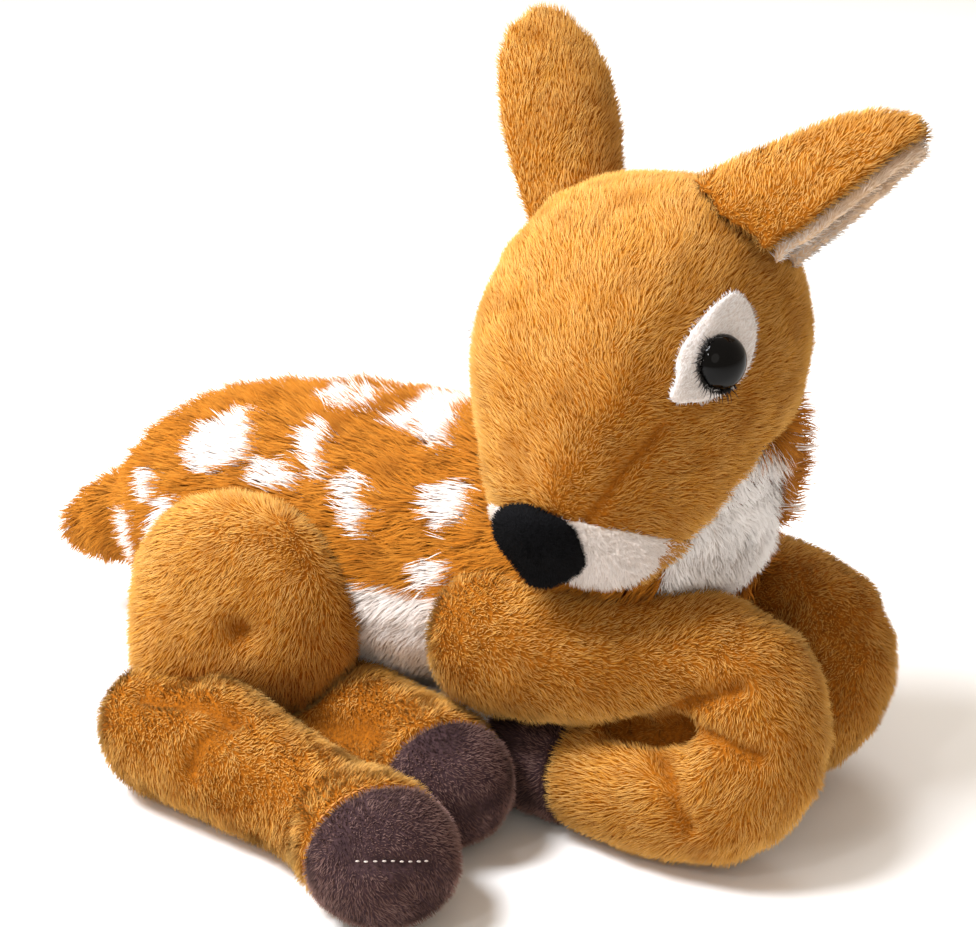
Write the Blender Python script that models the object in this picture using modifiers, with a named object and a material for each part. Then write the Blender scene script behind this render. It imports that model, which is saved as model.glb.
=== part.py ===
"""A lying plush fawn: long-pile torso, plush head, ears, legs and hooves, sewn and filled.

Metres, +Z up. The chest points to +X and the deer's left is +Y. The hooves and forearms
rest on z = 0, the belly is carried just above it, and the head is turned to the deer's right.
"""

import math

import bmesh
import bpy
import numpy as np
from mathutils import Matrix, Vector
from mathutils.bvhtree import BVHTree

# Whole toy: where the torso's middle lies from the middle of the footprint
TORSO_MIDDLE_X = 0.0065
TORSO_MIDDLE_Y = 0.033
GAP = 0.0003
FLAT_DEPTH = 0.0005
OVERRUN = 0.05
SKIN = 0.0020

# Torso
TORSO_LENGTH = 0.236
TORSO_WIDTH = 0.112
TORSO_HEIGHT = 0.098
BELLY_CLEARANCE = 0.020
NECK_BALL_RADIUS = 0.0365
NECK_RISE = 0.008
NECK_CLEARANCE = 0.0040
NECK_FIT = 0.0008
BELLY_SEAM_HEIGHT = 0.050
BIB_WIDTH = 0.073
BIB_SEAM_DEPTH = 0.033

# Head, turned to the deer's right and tipped down
HEAD_RADIUS = 0.0545
MUZZLE_REACH = 0.086
HEAD_BACK = 0.0065
HEAD_SIDE = -0.002
HEAD_RISE = 0.0378
MUZZLE_SEAM_REACH = 0.072
NOSE_WIDTH = 0.034
NOSE_HEIGHT = 0.033
NOSE_DEPTH = 0.018
HEAD_TURN_DEG = -101.0
HEAD_TIP_DEG = 41.0
HEAD_ROLL_DEG = 7.0
NOSE_TIP_DEG = 37.0
MUZZLE_SEAM_DEG = 66.0

# Eyes
EYE_RADIUS = 0.0090
EYE_DOME = 0.0052
EYE_STEM_RADIUS = 0.0025
EYE_STEM_LENGTH = 0.016
WASHER_RADIUS = 0.0075
WASHER_THICKNESS = 0.0016
WASHER_DEPTH = 0.0048
PATCH_LENGTH = 0.036
PATCH_WIDTH = 0.036
PATCH_THICKNESS = 0.0016
LASH_RADIUS = 0.0010
LEFT_EYE_SPREAD_DEG = 58.0
RIGHT_EYE_SPREAD_DEG = 63.0
EYE_LIFT_DEG = 4.5
LASH_START_DEG = 150.0
LASH_SWEEP_DEG = 110.0

# Ears
EAR_LENGTH = 0.094
EAR_WIDTH = 0.067
EAR_BACK_THICKNESS = 0.0035
EAR_LINING_THICKNESS = 0.0022
EAR_LINING_CLEARANCE = 0.0019

# Tail
TAIL_LENGTH = 0.043
TAIL_RADIUS = 0.0145

# Hind legs
THIGH_RADIUS = 0.0415
THIGH_HALF_LENGTH = 0.0460
THIGH_THICKNESS = 0.054
THIGH_HEIGHT = 0.059
THIGH_BACK = 0.048
THIGH_OUT = 0.062
HIND_LEG_RADIUS = 0.0245
HIND_LEG_REACH = 0.110
HIND_LEG_SPREAD = 0.033
HIND_LEG_BACK = 0.059
HIND_LEG_OUT = 0.098
TUCKED_LEG_RADIUS = 0.0230
TUCKED_LEG_REACH = 0.098
TUCKED_LEG_SPREAD = 0.124
TUCKED_LEG_BACK = 0.052
TUCKED_LEG_OUT = 0.044

# Front legs
FRONT_LEG_RADIUS = 0.0255
BEND_RADIUS = 0.0240
RIGHT_SHOULDER_FORWARD = 0.044
LEFT_SHOULDER_FORWARD = 0.040
RIGHT_SHOULDER_OUT = 0.033
LEFT_SHOULDER_OUT = 0.047
RIGHT_SHOULDER_LEAN = 0.0150
LEFT_SHOULDER_LEAN = 0.0040
UPPER_LEG_REACH = 0.074
FOREARM_REACH = 0.056
RIGHT_FOREARM_SPREAD = 0.005
LEFT_FOREARM_SPREAD = -0.008
RIGHT_FOLD_DEG = 19.0
LEFT_FOLD_DEG = -50.0

# Joint ranges that the cut seats are made to clear
EAR_SWING_DEG = 15.0
TAIL_SWING_DEG = 8.0
RIGHT_SHOULDER_LIFT_DEG = 1.5
LEFT_SHOULDER_LIFT_DEG = 12.0
TUCKED_CLEARANCE = 0.0030
HOCK_SWING_DEG = 14.0

# Each row: along, up, half width, half height, as shares of the torso's sizes
torso_shares = [
    (-0.572, 0.40, 0.00, 0.00),
    (-0.555, 0.41, 0.20, 0.19),
    (-0.460, 0.44, 0.38, 0.38),
    (-0.320, 0.47, 0.475, 0.465),
    (-0.150, 0.49, 0.500, 0.495),
    (0.040, 0.50, 0.490, 0.500),
    (0.210, 0.58, 0.470, 0.480),
    (0.335, 0.75, 0.435, 0.400),
]
# How far ahead of the torso's middle the neck's ball sits
NECK_FORWARD_SHARE = 0.3729
# Each row: ahead and up from the middle of the neck's ball, half width, half height
neck_shares = [
    (0.10, -0.25, 1.08, 0.97),
    (0.02, 0.34, 0.94, 0.94),
    (0.00, 0.60, 0.80, 0.80),
    (0.00, 0.82, 0.57, 0.57),
    (0.00, 0.96, 0.28, 0.28),
    (0.00, 1.00, 0.00, 0.00),
]
# How far the head's upper corners stand out
CROWN_SHARE = 0.14
# The belly panel's ends along the torso, and the bib's ends up it
belly_pane_shares = (-0.40, 0.24)
bib_pane_shares = (0.42, 0.98)
# How far above the neck ball's middle the head rests on the ball alone, clear of the torso
NECK_COLLAR_SHARE = 0.45
# Each row: along the muzzle, drop below its straight line, half width, half height
skull_shares = [
    (-1.00, 0.00, 0.00, 0.00),
    (-0.93, 0.00, 0.39, 0.40),
    (-0.55, 0.00, 0.82, 0.84),
    (0.00, 0.00, 0.97, 1.00),
]
muzzle_shares = [
    (0.26, 0.03, 0.94, 0.99),
    (0.50, 0.07, 0.82, 0.90),
    (0.72, 0.07, 0.65, 0.71),
    (0.88, 0.04, 0.52, 0.53),
    (0.97, 0.02, 0.30, 0.30),
    (1.00, 0.02, 0.00, 0.00),
]
# Each row: along, out, up, half width, half height, as shares of the leg's reach, spread and radius
hind_leg_shares = [
    (-0.195, -0.10, 1.10, 0.00, 0.00),
    (-0.172, -0.09, 1.10, 0.54, 0.60),
    (-0.070, -0.04, 1.12, 0.97, 1.12),
    (0.080, 0.05, 1.10, 1.03, 1.10),
    (0.300, 0.18, 0.95, 0.92, 0.95),
    (0.550, 0.31, 0.83, 0.84, 0.83),
    (0.760, 0.50, 0.80, 0.84, 0.80),
    (0.890, 0.74, 0.89, 0.99, 0.89),
    (1.020, 1.02, 0.93, 1.06, 0.93),
    (1.150, 1.26, 0.80, 0.76, 0.64),
    (1.190, 1.33, 0.75, 0.00, 0.00),
]
tucked_leg_shares = [
    (-0.090, -0.06, 1.00, 0.00, 0.00),
    (-0.065, -0.02, 1.00, 0.55, 0.55),
    (0.000, 0.14, 1.00, 0.95, 0.95),
    (0.080, 0.46, 0.98, 0.98, 0.98),
    (0.300, 0.74, 0.95, 0.95, 0.95),
    (0.620, 0.87, 0.95, 0.95, 0.95),
    (0.880, 0.945, 1.00, 1.00, 1.00),
    (1.020, 1.02, 1.00, 1.00, 0.98),
    (1.120, 1.10, 0.90, 0.68, 0.66),
    (1.150, 1.13, 0.85, 0.00, 0.00),
]
# Where each hoof's seam lies along its leg, as a share of the leg's rows
HIND_SEAM_SHARE = 0.67
TUCKED_SEAM_SHARE = 0.655
# Each row: along, out, up, radius, for the upper leg behind the bend
upper_leg_shares = [
    (-0.25, 1.00, -0.04, 0.00),
    (-0.23, 1.00, -0.04, 0.55),
    (-0.10, 1.00, -0.04, 0.96),
    (0.14, 0.98, -0.04, 1.07),
    (0.48, 0.64, -0.04, 1.02),
    (0.82, 0.16, -0.02, 0.95),
]
# Each row: back from the bend, out, up, radius, for the forearm and hoof
forearm_shares = [
    (0.15, 0.00, 0.90, 0.90),
    (0.45, 0.20, 0.83, 0.83),
    (0.72, 0.55, 0.74, 0.74),
    (0.88, 0.80, 0.71, 0.71),
    (1.15, 1.10, 0.72, 0.71),
    (1.34, 1.25, 0.68, 0.47),
    (1.38, 1.28, 0.66, 0.00),
]
FRONT_SEAM_SHARE = 0.690
# The gap that parts a leg from its hoof, and the swell of the bend: half width and half height
SEAM_STEP_SHARE = 0.004
bend_shares = (0.93, 0.97)
tail_shares = [
    (-0.45, 0.10, 0.00),
    (-0.38, 0.08, 0.60),
    (0.00, 0.00, 0.95),
    (0.35, -0.12, 1.00),
    (0.70, -0.26, 0.62),
    (0.93, -0.36, 0.24),
    (1.00, -0.40, 0.00),
]
# Where the tail is sewn on: along the torso and above the belly
tail_root_shares = (-0.580, 0.34)
# Each row from an ear's root to its tip: half width and cup depth, as shares of its flat width
ear_fold_shares = {
    "left": [(0.24, 0.53), (0.25, 0.52), (0.25, 0.48), (0.25, 0.44), (0.25, 0.39),
             (0.24, 0.35), (0.21, 0.30), (0.17, 0.22), (0.07, 0.07)],
    "right": [(0.22, 0.20), (0.25, 0.20), (0.295, 0.19), (0.33, 0.18), (0.35, 0.17),
              (0.35, 0.15), (0.33, 0.12), (0.26, 0.07), (0.08, 0.01)],
}
# Each ear's way from its root, and the way that its cup opens: sideways, back and up
ear_way_shares = {"left": (0.64, 0.47, 0.66), "right": (0.51, 0.46, 0.81)}
ear_cup_shares = {"left": (0.74, 0.07, -0.76), "right": (0.70, 0.10, -0.60)}
# How long each ear stands, as the left one is bent over at its root
ear_length_shares = {"left": 0.77, "right": 1.00}
# Where each ear is sewn on: sideways, ahead and above the head's middle, as shares of its radius
ear_root_shares = {"left": (0.85, -0.10, 0.53), "right": (0.70, -0.10, 0.70)}
# How far an ear runs into the head, and its lining's start, length and width
ear_sheet_shares = {"root": 0.15, "start": 0.02, "length": 0.93, "width": 0.80}
# The eye patch's outline about the eye: along and across
patch_shares = [
    (0.31, 0.55),
    (0.43, 0.42),
    (0.46, 0.20),
    (0.36, -0.03),
    (0.18, -0.20),
    (-0.05, -0.31),
    (-0.34, -0.30),
    (-0.58, -0.24),
    (-0.46, -0.05),
    (-0.43, 0.13),
    (-0.25, 0.32),
    (0.00, 0.48),
    (0.19, 0.56),
]

# How deep the nose pad sits in the head, as a share of its depth
NOSE_SINK_SHARE = 0.15

# The step in rows from which a form's way ahead is measured
ROW_STEP_SHARE = 0.05

SIDES = 20
LIMB_SIDES = 16
TORSO_RINGS = 20
HEAD_RINGS = 18
LIMB_RINGS = 12
BEND_STEPS = 7
LASH_STEPS = 8
EAR_COLUMNS = 6

COLOURS = {
    "long_pile": ("C97D2C", 0.95),
    "plush": ("C58B3C", 0.90),
    "white_plush": ("F2EDEA", 0.92),
    "hoof_plush": ("54403F", 0.90),
    "nose_plush": ("0B0C0E", 0.85),
    "eye_gloss": ("070605", 0.06),
    "lash": ("1B1310", 0.60),
    "ear_lining": ("EFE0D2", 0.90),
    "washer": ("E8E8E4", 0.45),
    "fibre": ("F7F7F4", 1.00),
}


def clear_scene():
    for old in list(bpy.data.objects):
        bpy.data.objects.remove(old, do_unlink=True)


def new_collection(name, cutters=False):
    group = bpy.data.collections.new(name)
    bpy.context.scene.collection.children.link(group)
    group.hide_render = cutters
    return group


def linear(hex_colour):
    values = [int(hex_colour[i:i + 2], 16) / 255 for i in (0, 2, 4)]
    return [v / 12.92 if v <= 0.04045 else ((v + 0.055) / 1.055) ** 2.4 for v in values]


def new_material(node, finish):
    colour, roughness = COLOURS[finish]
    made = bpy.data.materials.new(node)
    made.use_nodes = True
    shader = made.node_tree.nodes["Principled BSDF"]
    shader.inputs["Base Color"].default_value = (*linear(colour), 1)
    shader.inputs["Roughness"].default_value = roughness
    shader.inputs["Metallic"].default_value = 0
    return made


def link_mesh(name, mesh_data, group):
    made = bpy.data.objects.new(name, mesh_data)
    group.objects.link(made)
    return made


def from_bmesh(name, shape, group):
    bmesh.ops.recalc_face_normals(shape, faces=shape.faces)
    mesh_data = bpy.data.meshes.new(name)
    shape.to_mesh(mesh_data)
    shape.free()
    mesh_data.shade_smooth()
    mesh_data.set_sharp_from_angle(angle=math.radians(50))
    return link_mesh(name, mesh_data, group)


def between(rows, place):
    """The rows' smooth value at a place counted in rows, with radii blended by their squares."""
    last = len(rows) - 1
    left = int(min(max(math.floor(place), 0), last - 1))
    part = place - left
    before = rows[max(left - 1, 0)]
    after = rows[min(left + 2, last)]
    start, end = rows[left], rows[left + 1]
    return 0.5 * (2 * start + (end - before) * part
                  + (2 * before - 5 * start + 4 * end - after) * part ** 2
                  + (3 * start - before - 3 * end + after) * part ** 3)


def sections(stations, rings, low_share, high_share):
    """Points, ways ahead and radii along a swelling form, closer together towards a rounded end."""
    rows = np.array([[*place, wide ** 2, high ** 2] for place, wide, high in stations])
    last = len(rows) - 1
    found = []
    for step in range(rings + 1):
        turn = math.pi * (low_share + (high_share - low_share) * step / rings)
        place = last * (1 - math.cos(turn)) / 2
        value = between(rows, place)
        before = between(rows, max(place - ROW_STEP_SHARE, 0))
        after = between(rows, min(place + ROW_STEP_SHARE, last))
        ahead = Vector(after[:3] - before[:3]).normalized()
        wide, high = np.sqrt(np.maximum(value[3:], 0))
        found.append((Vector(value[:3]), ahead, wide, high))
    return found


def loft(name, stations, group, sides, rings, side_hint, low_share=0.0, high_share=1.0, crown=0.0):
    """A closed form of elliptical sections along its stations, round or flat at each end.

    The crown is how far each section's two upper corners stand out, as a share of its size.
    """
    places = sections(stations, rings, low_share, high_share)
    shape = bmesh.new()
    loops = []
    for centre, ahead, wide, high in places:
        side = (side_hint - ahead * side_hint.dot(ahead)).normalized()
        up = ahead.cross(side)
        if wide < SKIN / 10:
            loops.append([shape.verts.new(centre)])
            continue
        loop = []
        for corner in range(sides):
            turn = math.tau * corner / sides
            swell = 1 + crown * max(0, math.sin(turn)) * math.sin(2 * turn) ** 2
            out = (side * (math.cos(turn) * wide) + up * (math.sin(turn) * high)) * swell
            loop.append(shape.verts.new(centre + out))
        loops.append(loop)
    for first, second in zip(loops, loops[1:]):
        for corner in range(sides):
            after = (corner + 1) % sides
            if len(first) == 1:
                shape.faces.new((first[0], second[after], second[corner]))
            elif len(second) == 1:
                shape.faces.new((first[corner], first[after], second[0]))
            else:
                shape.faces.new((first[corner], first[after], second[after], second[corner]))
    for loop in (loops[0], loops[-1]):
        if len(loop) > 1:
            shape.faces.new(loop)
    bmesh.ops.triangulate(shape, faces=shape.faces)
    return from_bmesh(name, shape, group)


def ball(name, centre, radii, turn, group, segments=20, rings=12):
    """An ellipsoid with its half sizes along the axes of a rotation."""
    shape = bmesh.new()
    bmesh.ops.create_uvsphere(shape, u_segments=segments, v_segments=rings, radius=1)
    place = Matrix.Translation(centre) @ turn.to_4x4() @ Matrix.Diagonal((*radii, 1))
    bmesh.ops.transform(shape, matrix=place, verts=shape.verts)
    return from_bmesh(name, shape, group)


def rod(name, start, end, radius, group, segments=16):
    """A cylinder between two points."""
    length = (end - start).length
    shape = bmesh.new()
    bmesh.ops.create_cone(shape, cap_ends=True, segments=segments,
                          radius1=radius, radius2=radius, depth=length)
    turn = (end - start).to_track_quat("Z", "Y").to_matrix().to_4x4()
    place = Matrix.Translation((start + end) / 2) @ turn
    bmesh.ops.transform(shape, matrix=place, verts=shape.verts)
    return from_bmesh(name, shape, group)


def block(name, low, high, group, place=None):
    """A box between two corners, then moved by a matrix."""
    shape = bmesh.new()
    bmesh.ops.create_cube(shape, size=1)
    size = Matrix.Diagonal((*(high - low), 1))
    box_place = Matrix.Translation((low + high) / 2) @ size
    if place:
        box_place = place @ box_place
    bmesh.ops.transform(shape, matrix=box_place, verts=shape.verts)
    return from_bmesh(name, shape, group)


def shifted(source, name, amount, group):
    """The form moved outwards, or inwards, along its normals."""
    shape = bmesh.new()
    shape.from_mesh(source.data)
    shape.normal_update()
    shifts = [corner.normal * amount for corner in shape.verts]
    for corner, shift in zip(shape.verts, shifts):
        corner.co += shift
    return from_bmesh(name, shape, group)


def fattened(source, name, amount):
    return as_cutter(shifted(source, name, amount, cutters))


def as_cutter(tool):
    tool.hide_render = True
    tool.display_type = "WIRE"
    return tool


def swept_cutter(form, name, pivot, axis, swings, clearance):
    """A cutter that holds a convex form as a moving piece meets it through its joint's range."""
    grown = bmesh.new()
    grown.from_mesh(form.data)
    grown.normal_update()
    spots = [corner.co + corner.normal * clearance for corner in grown.verts]
    grown.free()
    hull = bmesh.new()
    for degrees in swings:
        turn = Matrix.Rotation(math.radians(-degrees), 3, axis)
        for spot in spots:
            hull.verts.new(pivot + turn @ (spot - pivot))
    made = bmesh.ops.convex_hull(hull, input=hull.verts)
    inner = {item for item in made["geom_interior"] + made["geom_unused"]
             if isinstance(item, bmesh.types.BMVert)}
    bmesh.ops.delete(hull, geom=list(inner), context="VERTS")
    return as_cutter(from_bmesh(name, hull, cutters))


def combine(target, tool, operation="DIFFERENCE"):
    step = target.modifiers.new(f"{operation.lower()}_{tool.name}"[:60], "BOOLEAN")
    step.operation = operation
    step.solver = "EXACT"
    step.object = tool


def bake(target):
    """Turn an object's modifiers into its own mesh."""
    bpy.context.view_layer.update()
    view = bpy.context.evaluated_depsgraph_get()
    target.data = bpy.data.meshes.new_from_object(target.evaluated_get(view))
    target.modifiers.clear()


def finish(target, finish_name):
    target.data.materials.clear()
    target.data.materials.append(new_material(target.name, finish_name))


def hang_on(pivot_name, pivot, pieces, group):
    """Parent pieces to an empty on their joint's axis."""
    hook = bpy.data.objects.new(pivot_name, None)
    hook.location = pivot
    hook.empty_display_size = SKIN
    group.objects.link(hook)
    for piece in pieces:
        piece.parent = hook
        piece.matrix_parent_inverse = Matrix.Translation(-pivot)
    return hook


def surface_hit(tree, start, heading):
    """Where a line from inside a form meets its surface, and the surface's outward normal."""
    place, normal, _, _ = tree.ray_cast(start, heading)
    if normal.dot(heading) < 0:
        normal = -normal
    return place, normal


def torso_stations():
    rows = []
    for along, up, wide, high in torso_shares:
        place = torso_at + Vector((along * TORSO_LENGTH, 0, up * TORSO_HEIGHT))
        rows.append((place, wide * TORSO_WIDTH, high * TORSO_HEIGHT))
    for ahead, up, wide, high in neck_shares:
        place = neck_pivot + Vector((ahead, 0, up)) * NECK_BALL_RADIUS
        rows.append((place, wide * NECK_BALL_RADIUS, high * NECK_BALL_RADIUS))
    return rows


def head_stations():
    rows = []
    for along, drop, wide, high in skull_shares:
        place = head_at + muzzle_way * (along * HEAD_RADIUS) - muzzle_up * (drop * HEAD_RADIUS)
        rows.append((place, wide * HEAD_RADIUS, high * HEAD_RADIUS))
    for along, drop, wide, high in muzzle_shares:
        place = head_at + muzzle_way * (along * MUZZLE_REACH) - muzzle_up * (drop * HEAD_RADIUS)
        rows.append((place, wide * HEAD_RADIUS, high * HEAD_RADIUS))
    return rows


def make_torso():
    """The long-pile skin up to the neck's ball, the belly panel and bib let into it, and the filling."""
    skin = loft("torso_skin", torso_stations(), parts, SIDES, TORSO_RINGS, Y_AXIS)
    inside = fattened(skin, "torso_inside", -SKIN)
    filling = shifted(skin, "torso_filling", -SKIN - GAP, parts)
    form = as_cutter(link_mesh("torso_form", skin.data.copy(), cutters))
    belly = link_mesh("belly_panel", skin.data.copy(), parts)
    bib = link_mesh("bib", skin.data.copy(), parts)
    belly_back, belly_front = belly_pane_shares
    belly_low = torso_at + Vector((belly_back * TORSO_LENGTH, -TORSO_WIDTH, -OVERRUN))
    belly_high = torso_at + Vector((belly_front * TORSO_LENGTH, TORSO_WIDTH, BELLY_SEAM_HEIGHT))
    bib_back = TORSO_LENGTH / 2 - BIB_SEAM_DEPTH
    bib_foot, bib_top = bib_pane_shares
    bib_low = torso_at + Vector((bib_back, -BIB_WIDTH / 2, bib_foot * TORSO_HEIGHT))
    bib_high = torso_at + Vector((TORSO_LENGTH, BIB_WIDTH / 2, bib_top * TORSO_HEIGHT))
    edge = Vector((GAP, GAP, GAP))
    combine(skin, inside)
    for piece, low, high in ((belly, belly_low, belly_high), (bib, bib_low, bib_high)):
        window = as_cutter(block(f"{piece.name}_window", low - edge, high + edge, cutters))
        pane = as_cutter(block(f"{piece.name}_pane", low, high, cutters))
        combine(skin, window)
        combine(piece, pane, "INTERSECT")
        combine(piece, inside)
    finish(skin, "long_pile")
    finish(belly, "white_plush")
    finish(bib, "white_plush")
    finish(filling, "fibre")
    return form


def make_head(torso_form):
    """The head's skin, muzzle band and filling, hollowed where they sit on the neck's ball."""
    skin = loft("head_skin", head_stations(), parts, SIDES, HEAD_RINGS, head_side, crown=CROWN_SHARE)
    inside = fattened(skin, "head_inside", -SKIN)
    filling = shifted(skin, "head_filling", -SKIN - GAP, parts)
    band = link_mesh("muzzle_band", skin.data.copy(), parts)
    form = as_cutter(link_mesh("head_form", skin.data.copy(), cutters))
    seam_angle = math.radians(MUZZLE_SEAM_DEG)
    seam_way = head_way * math.cos(seam_angle) - head_up * math.sin(seam_angle)
    seam_turn = seam_way.to_track_quat("Z", "Y").to_matrix().to_4x4()
    seam_place = Matrix.Translation(head_at + muzzle_way * MUZZLE_SEAM_REACH) @ seam_turn
    wide = Vector((MUZZLE_REACH, MUZZLE_REACH, 0))
    ahead = Vector((MUZZLE_REACH, MUZZLE_REACH, MUZZLE_REACH))
    beyond = as_cutter(block("muzzle_side", -wide, ahead, cutters, seam_place))
    behind_place = seam_place @ Matrix.Translation(-Z_AXIS * GAP)
    before = as_cutter(block("skull_side", -wide, ahead, cutters, behind_place))
    combine(skin, inside)
    combine(skin, before)
    combine(band, beyond, "INTERSECT")
    combine(band, inside)
    socket = fattened(torso_form, "neck_socket", NECK_FIT)
    body_below = fattened(torso_form, "torso_under_head", NECK_CLEARANCE)
    collar_low = neck_pivot - Vector((TORSO_LENGTH, TORSO_LENGTH, -NECK_COLLAR_SHARE * NECK_BALL_RADIUS))
    collar_high = neck_pivot + Vector((TORSO_LENGTH, TORSO_LENGTH, TORSO_LENGTH))
    combine(body_below, as_cutter(block("above_neck", collar_low, collar_high, cutters)))
    bake(body_below)
    for piece in (skin, band, filling):
        combine(piece, body_below)
        combine(piece, socket)
    finish(skin, "plush")
    finish(band, "white_plush")
    finish(filling, "fibre")
    return skin, band, filling, form


def make_nose(tree, head_cutter):
    tip, _ = surface_hit(tree, head_at, nose_way)
    turn = nose_way.to_track_quat("Z", "Y").to_matrix()
    nose_side = turn.inverted() @ head_side
    roll = Matrix.Rotation(math.atan2(nose_side.y, nose_side.x), 3, "Z")
    radii = (NOSE_WIDTH / 2, NOSE_HEIGHT / 2, NOSE_DEPTH / 2)
    nose = ball("nose", tip - nose_way * (NOSE_SINK_SHARE * NOSE_DEPTH), radii, turn @ roll, parts)
    combine(nose, head_cutter)
    finish(nose, "nose_plush")
    return nose


def make_eye(side_name, sign, spread_degrees, tree, head_form, head_pieces):
    """A safety eye on its white patch, its lashes, and the washer that locks its stem inside."""
    skin, filling = head_pieces
    spread = math.radians(spread_degrees) * sign
    lift = math.radians(EYE_LIFT_DEG)
    level = head_way * math.cos(spread) + head_side * math.sin(spread)
    look = level * math.cos(lift) + head_up * math.sin(lift)
    seat, out = surface_hit(tree, head_at, look)
    back = (head_up - out * head_up.dot(out)).normalized()
    along = back.cross(out).normalized() * sign
    turn = Matrix((along, out.cross(along), out)).transposed()
    patch_cutter = fattened(head_form, f"head_under_eye_{side_name}", GAP + PATCH_THICKNESS + GAP)

    dome = (EYE_RADIUS, EYE_RADIUS, EYE_DOME + PATCH_THICKNESS)
    eye = ball(f"eye_{side_name}", seat + out * GAP, dome, turn, parts, 20, 14)
    stem_top = seat + out * (EYE_DOME / 2)
    stem_end = stem_top - out * EYE_STEM_LENGTH
    stem = as_cutter(rod(f"stem_{side_name}", stem_end, stem_top, EYE_STEM_RADIUS, cutters, 12))
    hole_end = stem_end - out * GAP
    hole = as_cutter(rod(f"stem_hole_{side_name}", hole_end, stem_top, EYE_STEM_RADIUS + GAP, cutters, 12))
    combine(eye, patch_cutter)
    combine(eye, stem, "UNION")

    washer_low = seat - out * (WASHER_DEPTH + WASHER_THICKNESS)
    washer_high = seat - out * WASHER_DEPTH
    washer = rod(f"eye_washer_{side_name}", washer_low, washer_high, WASHER_RADIUS, parts, 20)
    pocket_low = washer_low - out * GAP
    pocket_radius = WASHER_RADIUS + GAP
    pocket = as_cutter(rod(f"washer_pocket_{side_name}", pocket_low, stem_top, pocket_radius, cutters, 20))
    combine(washer, hole)
    combine(skin, hole)
    combine(filling, hole)
    combine(filling, pocket)

    patch = make_patch(side_name, seat, out, turn, head_form, sign)
    combine(patch, hole)
    lash = make_lash(side_name, seat, turn, patch_cutter, sign)
    finish(eye, "eye_gloss")
    finish(washer, "washer")
    return [eye, washer, patch, lash]


def rounded(outline):
    """A closed outline with each corner cut at a quarter of its two sides."""
    cut = []
    for here, after in zip(outline, outline[1:] + outline[:1]):
        cut.append(Vector(here).lerp(Vector(after), 1 / 4))
        cut.append(Vector(here).lerp(Vector(after), 3 / 4))
    return cut


def make_patch(side_name, seat, out, turn, head_form, sign):
    """The white leaf sewn under the eye: a prism of its outline, kept to a thin layer of the head."""
    shape = bmesh.new()
    place = Matrix.Translation(seat) @ turn.to_4x4()
    outline_shares = rounded(patch_shares)
    rims = []
    for height in (-PATCH_WIDTH / 2, PATCH_WIDTH / 2):
        rim = []
        for along, across in outline_shares:
            spot = Vector((along * PATCH_LENGTH, across * PATCH_WIDTH * sign, height))
            rim.append(shape.verts.new(place @ spot))
        shape.faces.new(rim)
        rims.append(rim)
    count = len(outline_shares)
    for corner in range(count):
        after = (corner + 1) % count
        shape.faces.new((rims[0][corner], rims[0][after], rims[1][after], rims[1][corner]))
    outline = as_cutter(from_bmesh(f"patch_outline_{side_name}", shape, cutters))
    patch = shifted(head_form, f"eye_patch_{side_name}", GAP + PATCH_THICKNESS, parts)
    combine(patch, outline, "INTERSECT")
    combine(patch, fattened(head_form, f"head_under_patch_{side_name}", GAP))
    finish(patch, "white_plush")
    return patch


def make_lash(side_name, seat, turn, patch_cutter, sign):
    """A curved tube of lashes round the eye's front and lower rim."""
    path = bpy.data.curves.new(f"lash_path_{side_name}", "CURVE")
    path.dimensions = "3D"
    path.bevel_depth = LASH_RADIUS
    path.bevel_resolution = 1
    path.use_fill_caps = True
    run = path.splines.new("POLY")
    run.points.add(LASH_STEPS)
    ring = EYE_RADIUS + GAP + LASH_RADIUS
    height = PATCH_THICKNESS + LASH_RADIUS
    for step in range(LASH_STEPS + 1):
        swing = math.radians(LASH_START_DEG + LASH_SWEEP_DEG * step / LASH_STEPS)
        spot = Vector((ring * math.cos(swing), ring * math.sin(swing) * sign, height))
        run.points[step].co = (*(seat + turn @ spot), 1)
    lash = curve_to_mesh(f"lash_{side_name}", path, parts)
    combine(lash, patch_cutter)
    finish(lash, "lash")
    return lash


def curve_to_mesh(name, path, group):
    draft = bpy.data.objects.new(f"{name}_draft", path)
    group.objects.link(draft)
    bpy.context.view_layer.update()
    view = bpy.context.evaluated_depsgraph_get()
    mesh_data = bpy.data.meshes.new_from_object(draft.evaluated_get(view))
    shape = bmesh.new()
    shape.from_mesh(mesh_data)
    bmesh.ops.remove_doubles(shape, verts=shape.verts, dist=SKIN / 100)
    bpy.data.objects.remove(draft, do_unlink=True)
    return from_bmesh(name, shape, group)


def ear_sheet(name, start, axes, rows, width, length, shift):
    """A cupped leaf, open, as wide and as deep as its rows say and curved towards its lining."""
    way, across, cup_way = axes
    steps = len(rows) - 1
    bpy.ops.mesh.primitive_grid_add(x_subdivisions=EAR_COLUMNS, y_subdivisions=steps, size=1)
    sheet = bpy.context.object
    sheet.name = name
    for group in list(sheet.users_collection):
        group.objects.unlink(sheet)
    parts.objects.link(sheet)
    for corner in sheet.data.vertices:
        row = round((corner.co.y + 0.5) * steps)
        side = corner.co.x * 2
        half = rows[row][0] * width
        depth = rows[row][1] * EAR_WIDTH * (1 - side ** 2)
        corner.co = start + way * (length * row / steps) + across * (side * half) - cup_way * (depth - shift)
    sheet.data.shade_smooth()
    return sheet


def thicken(sheet, thickness):
    wall = sheet.modifiers.new("wall", "SOLIDIFY")
    wall.thickness = thickness
    wall.offset = 0
    wall.use_even_offset = True


def head_vector(side_part, back_part, up_part, sign):
    """A direction given by its shares to the head's side, back and up."""
    return head_side * (side_part * sign) - head_way * back_part + Z_AXIS * up_part


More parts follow.
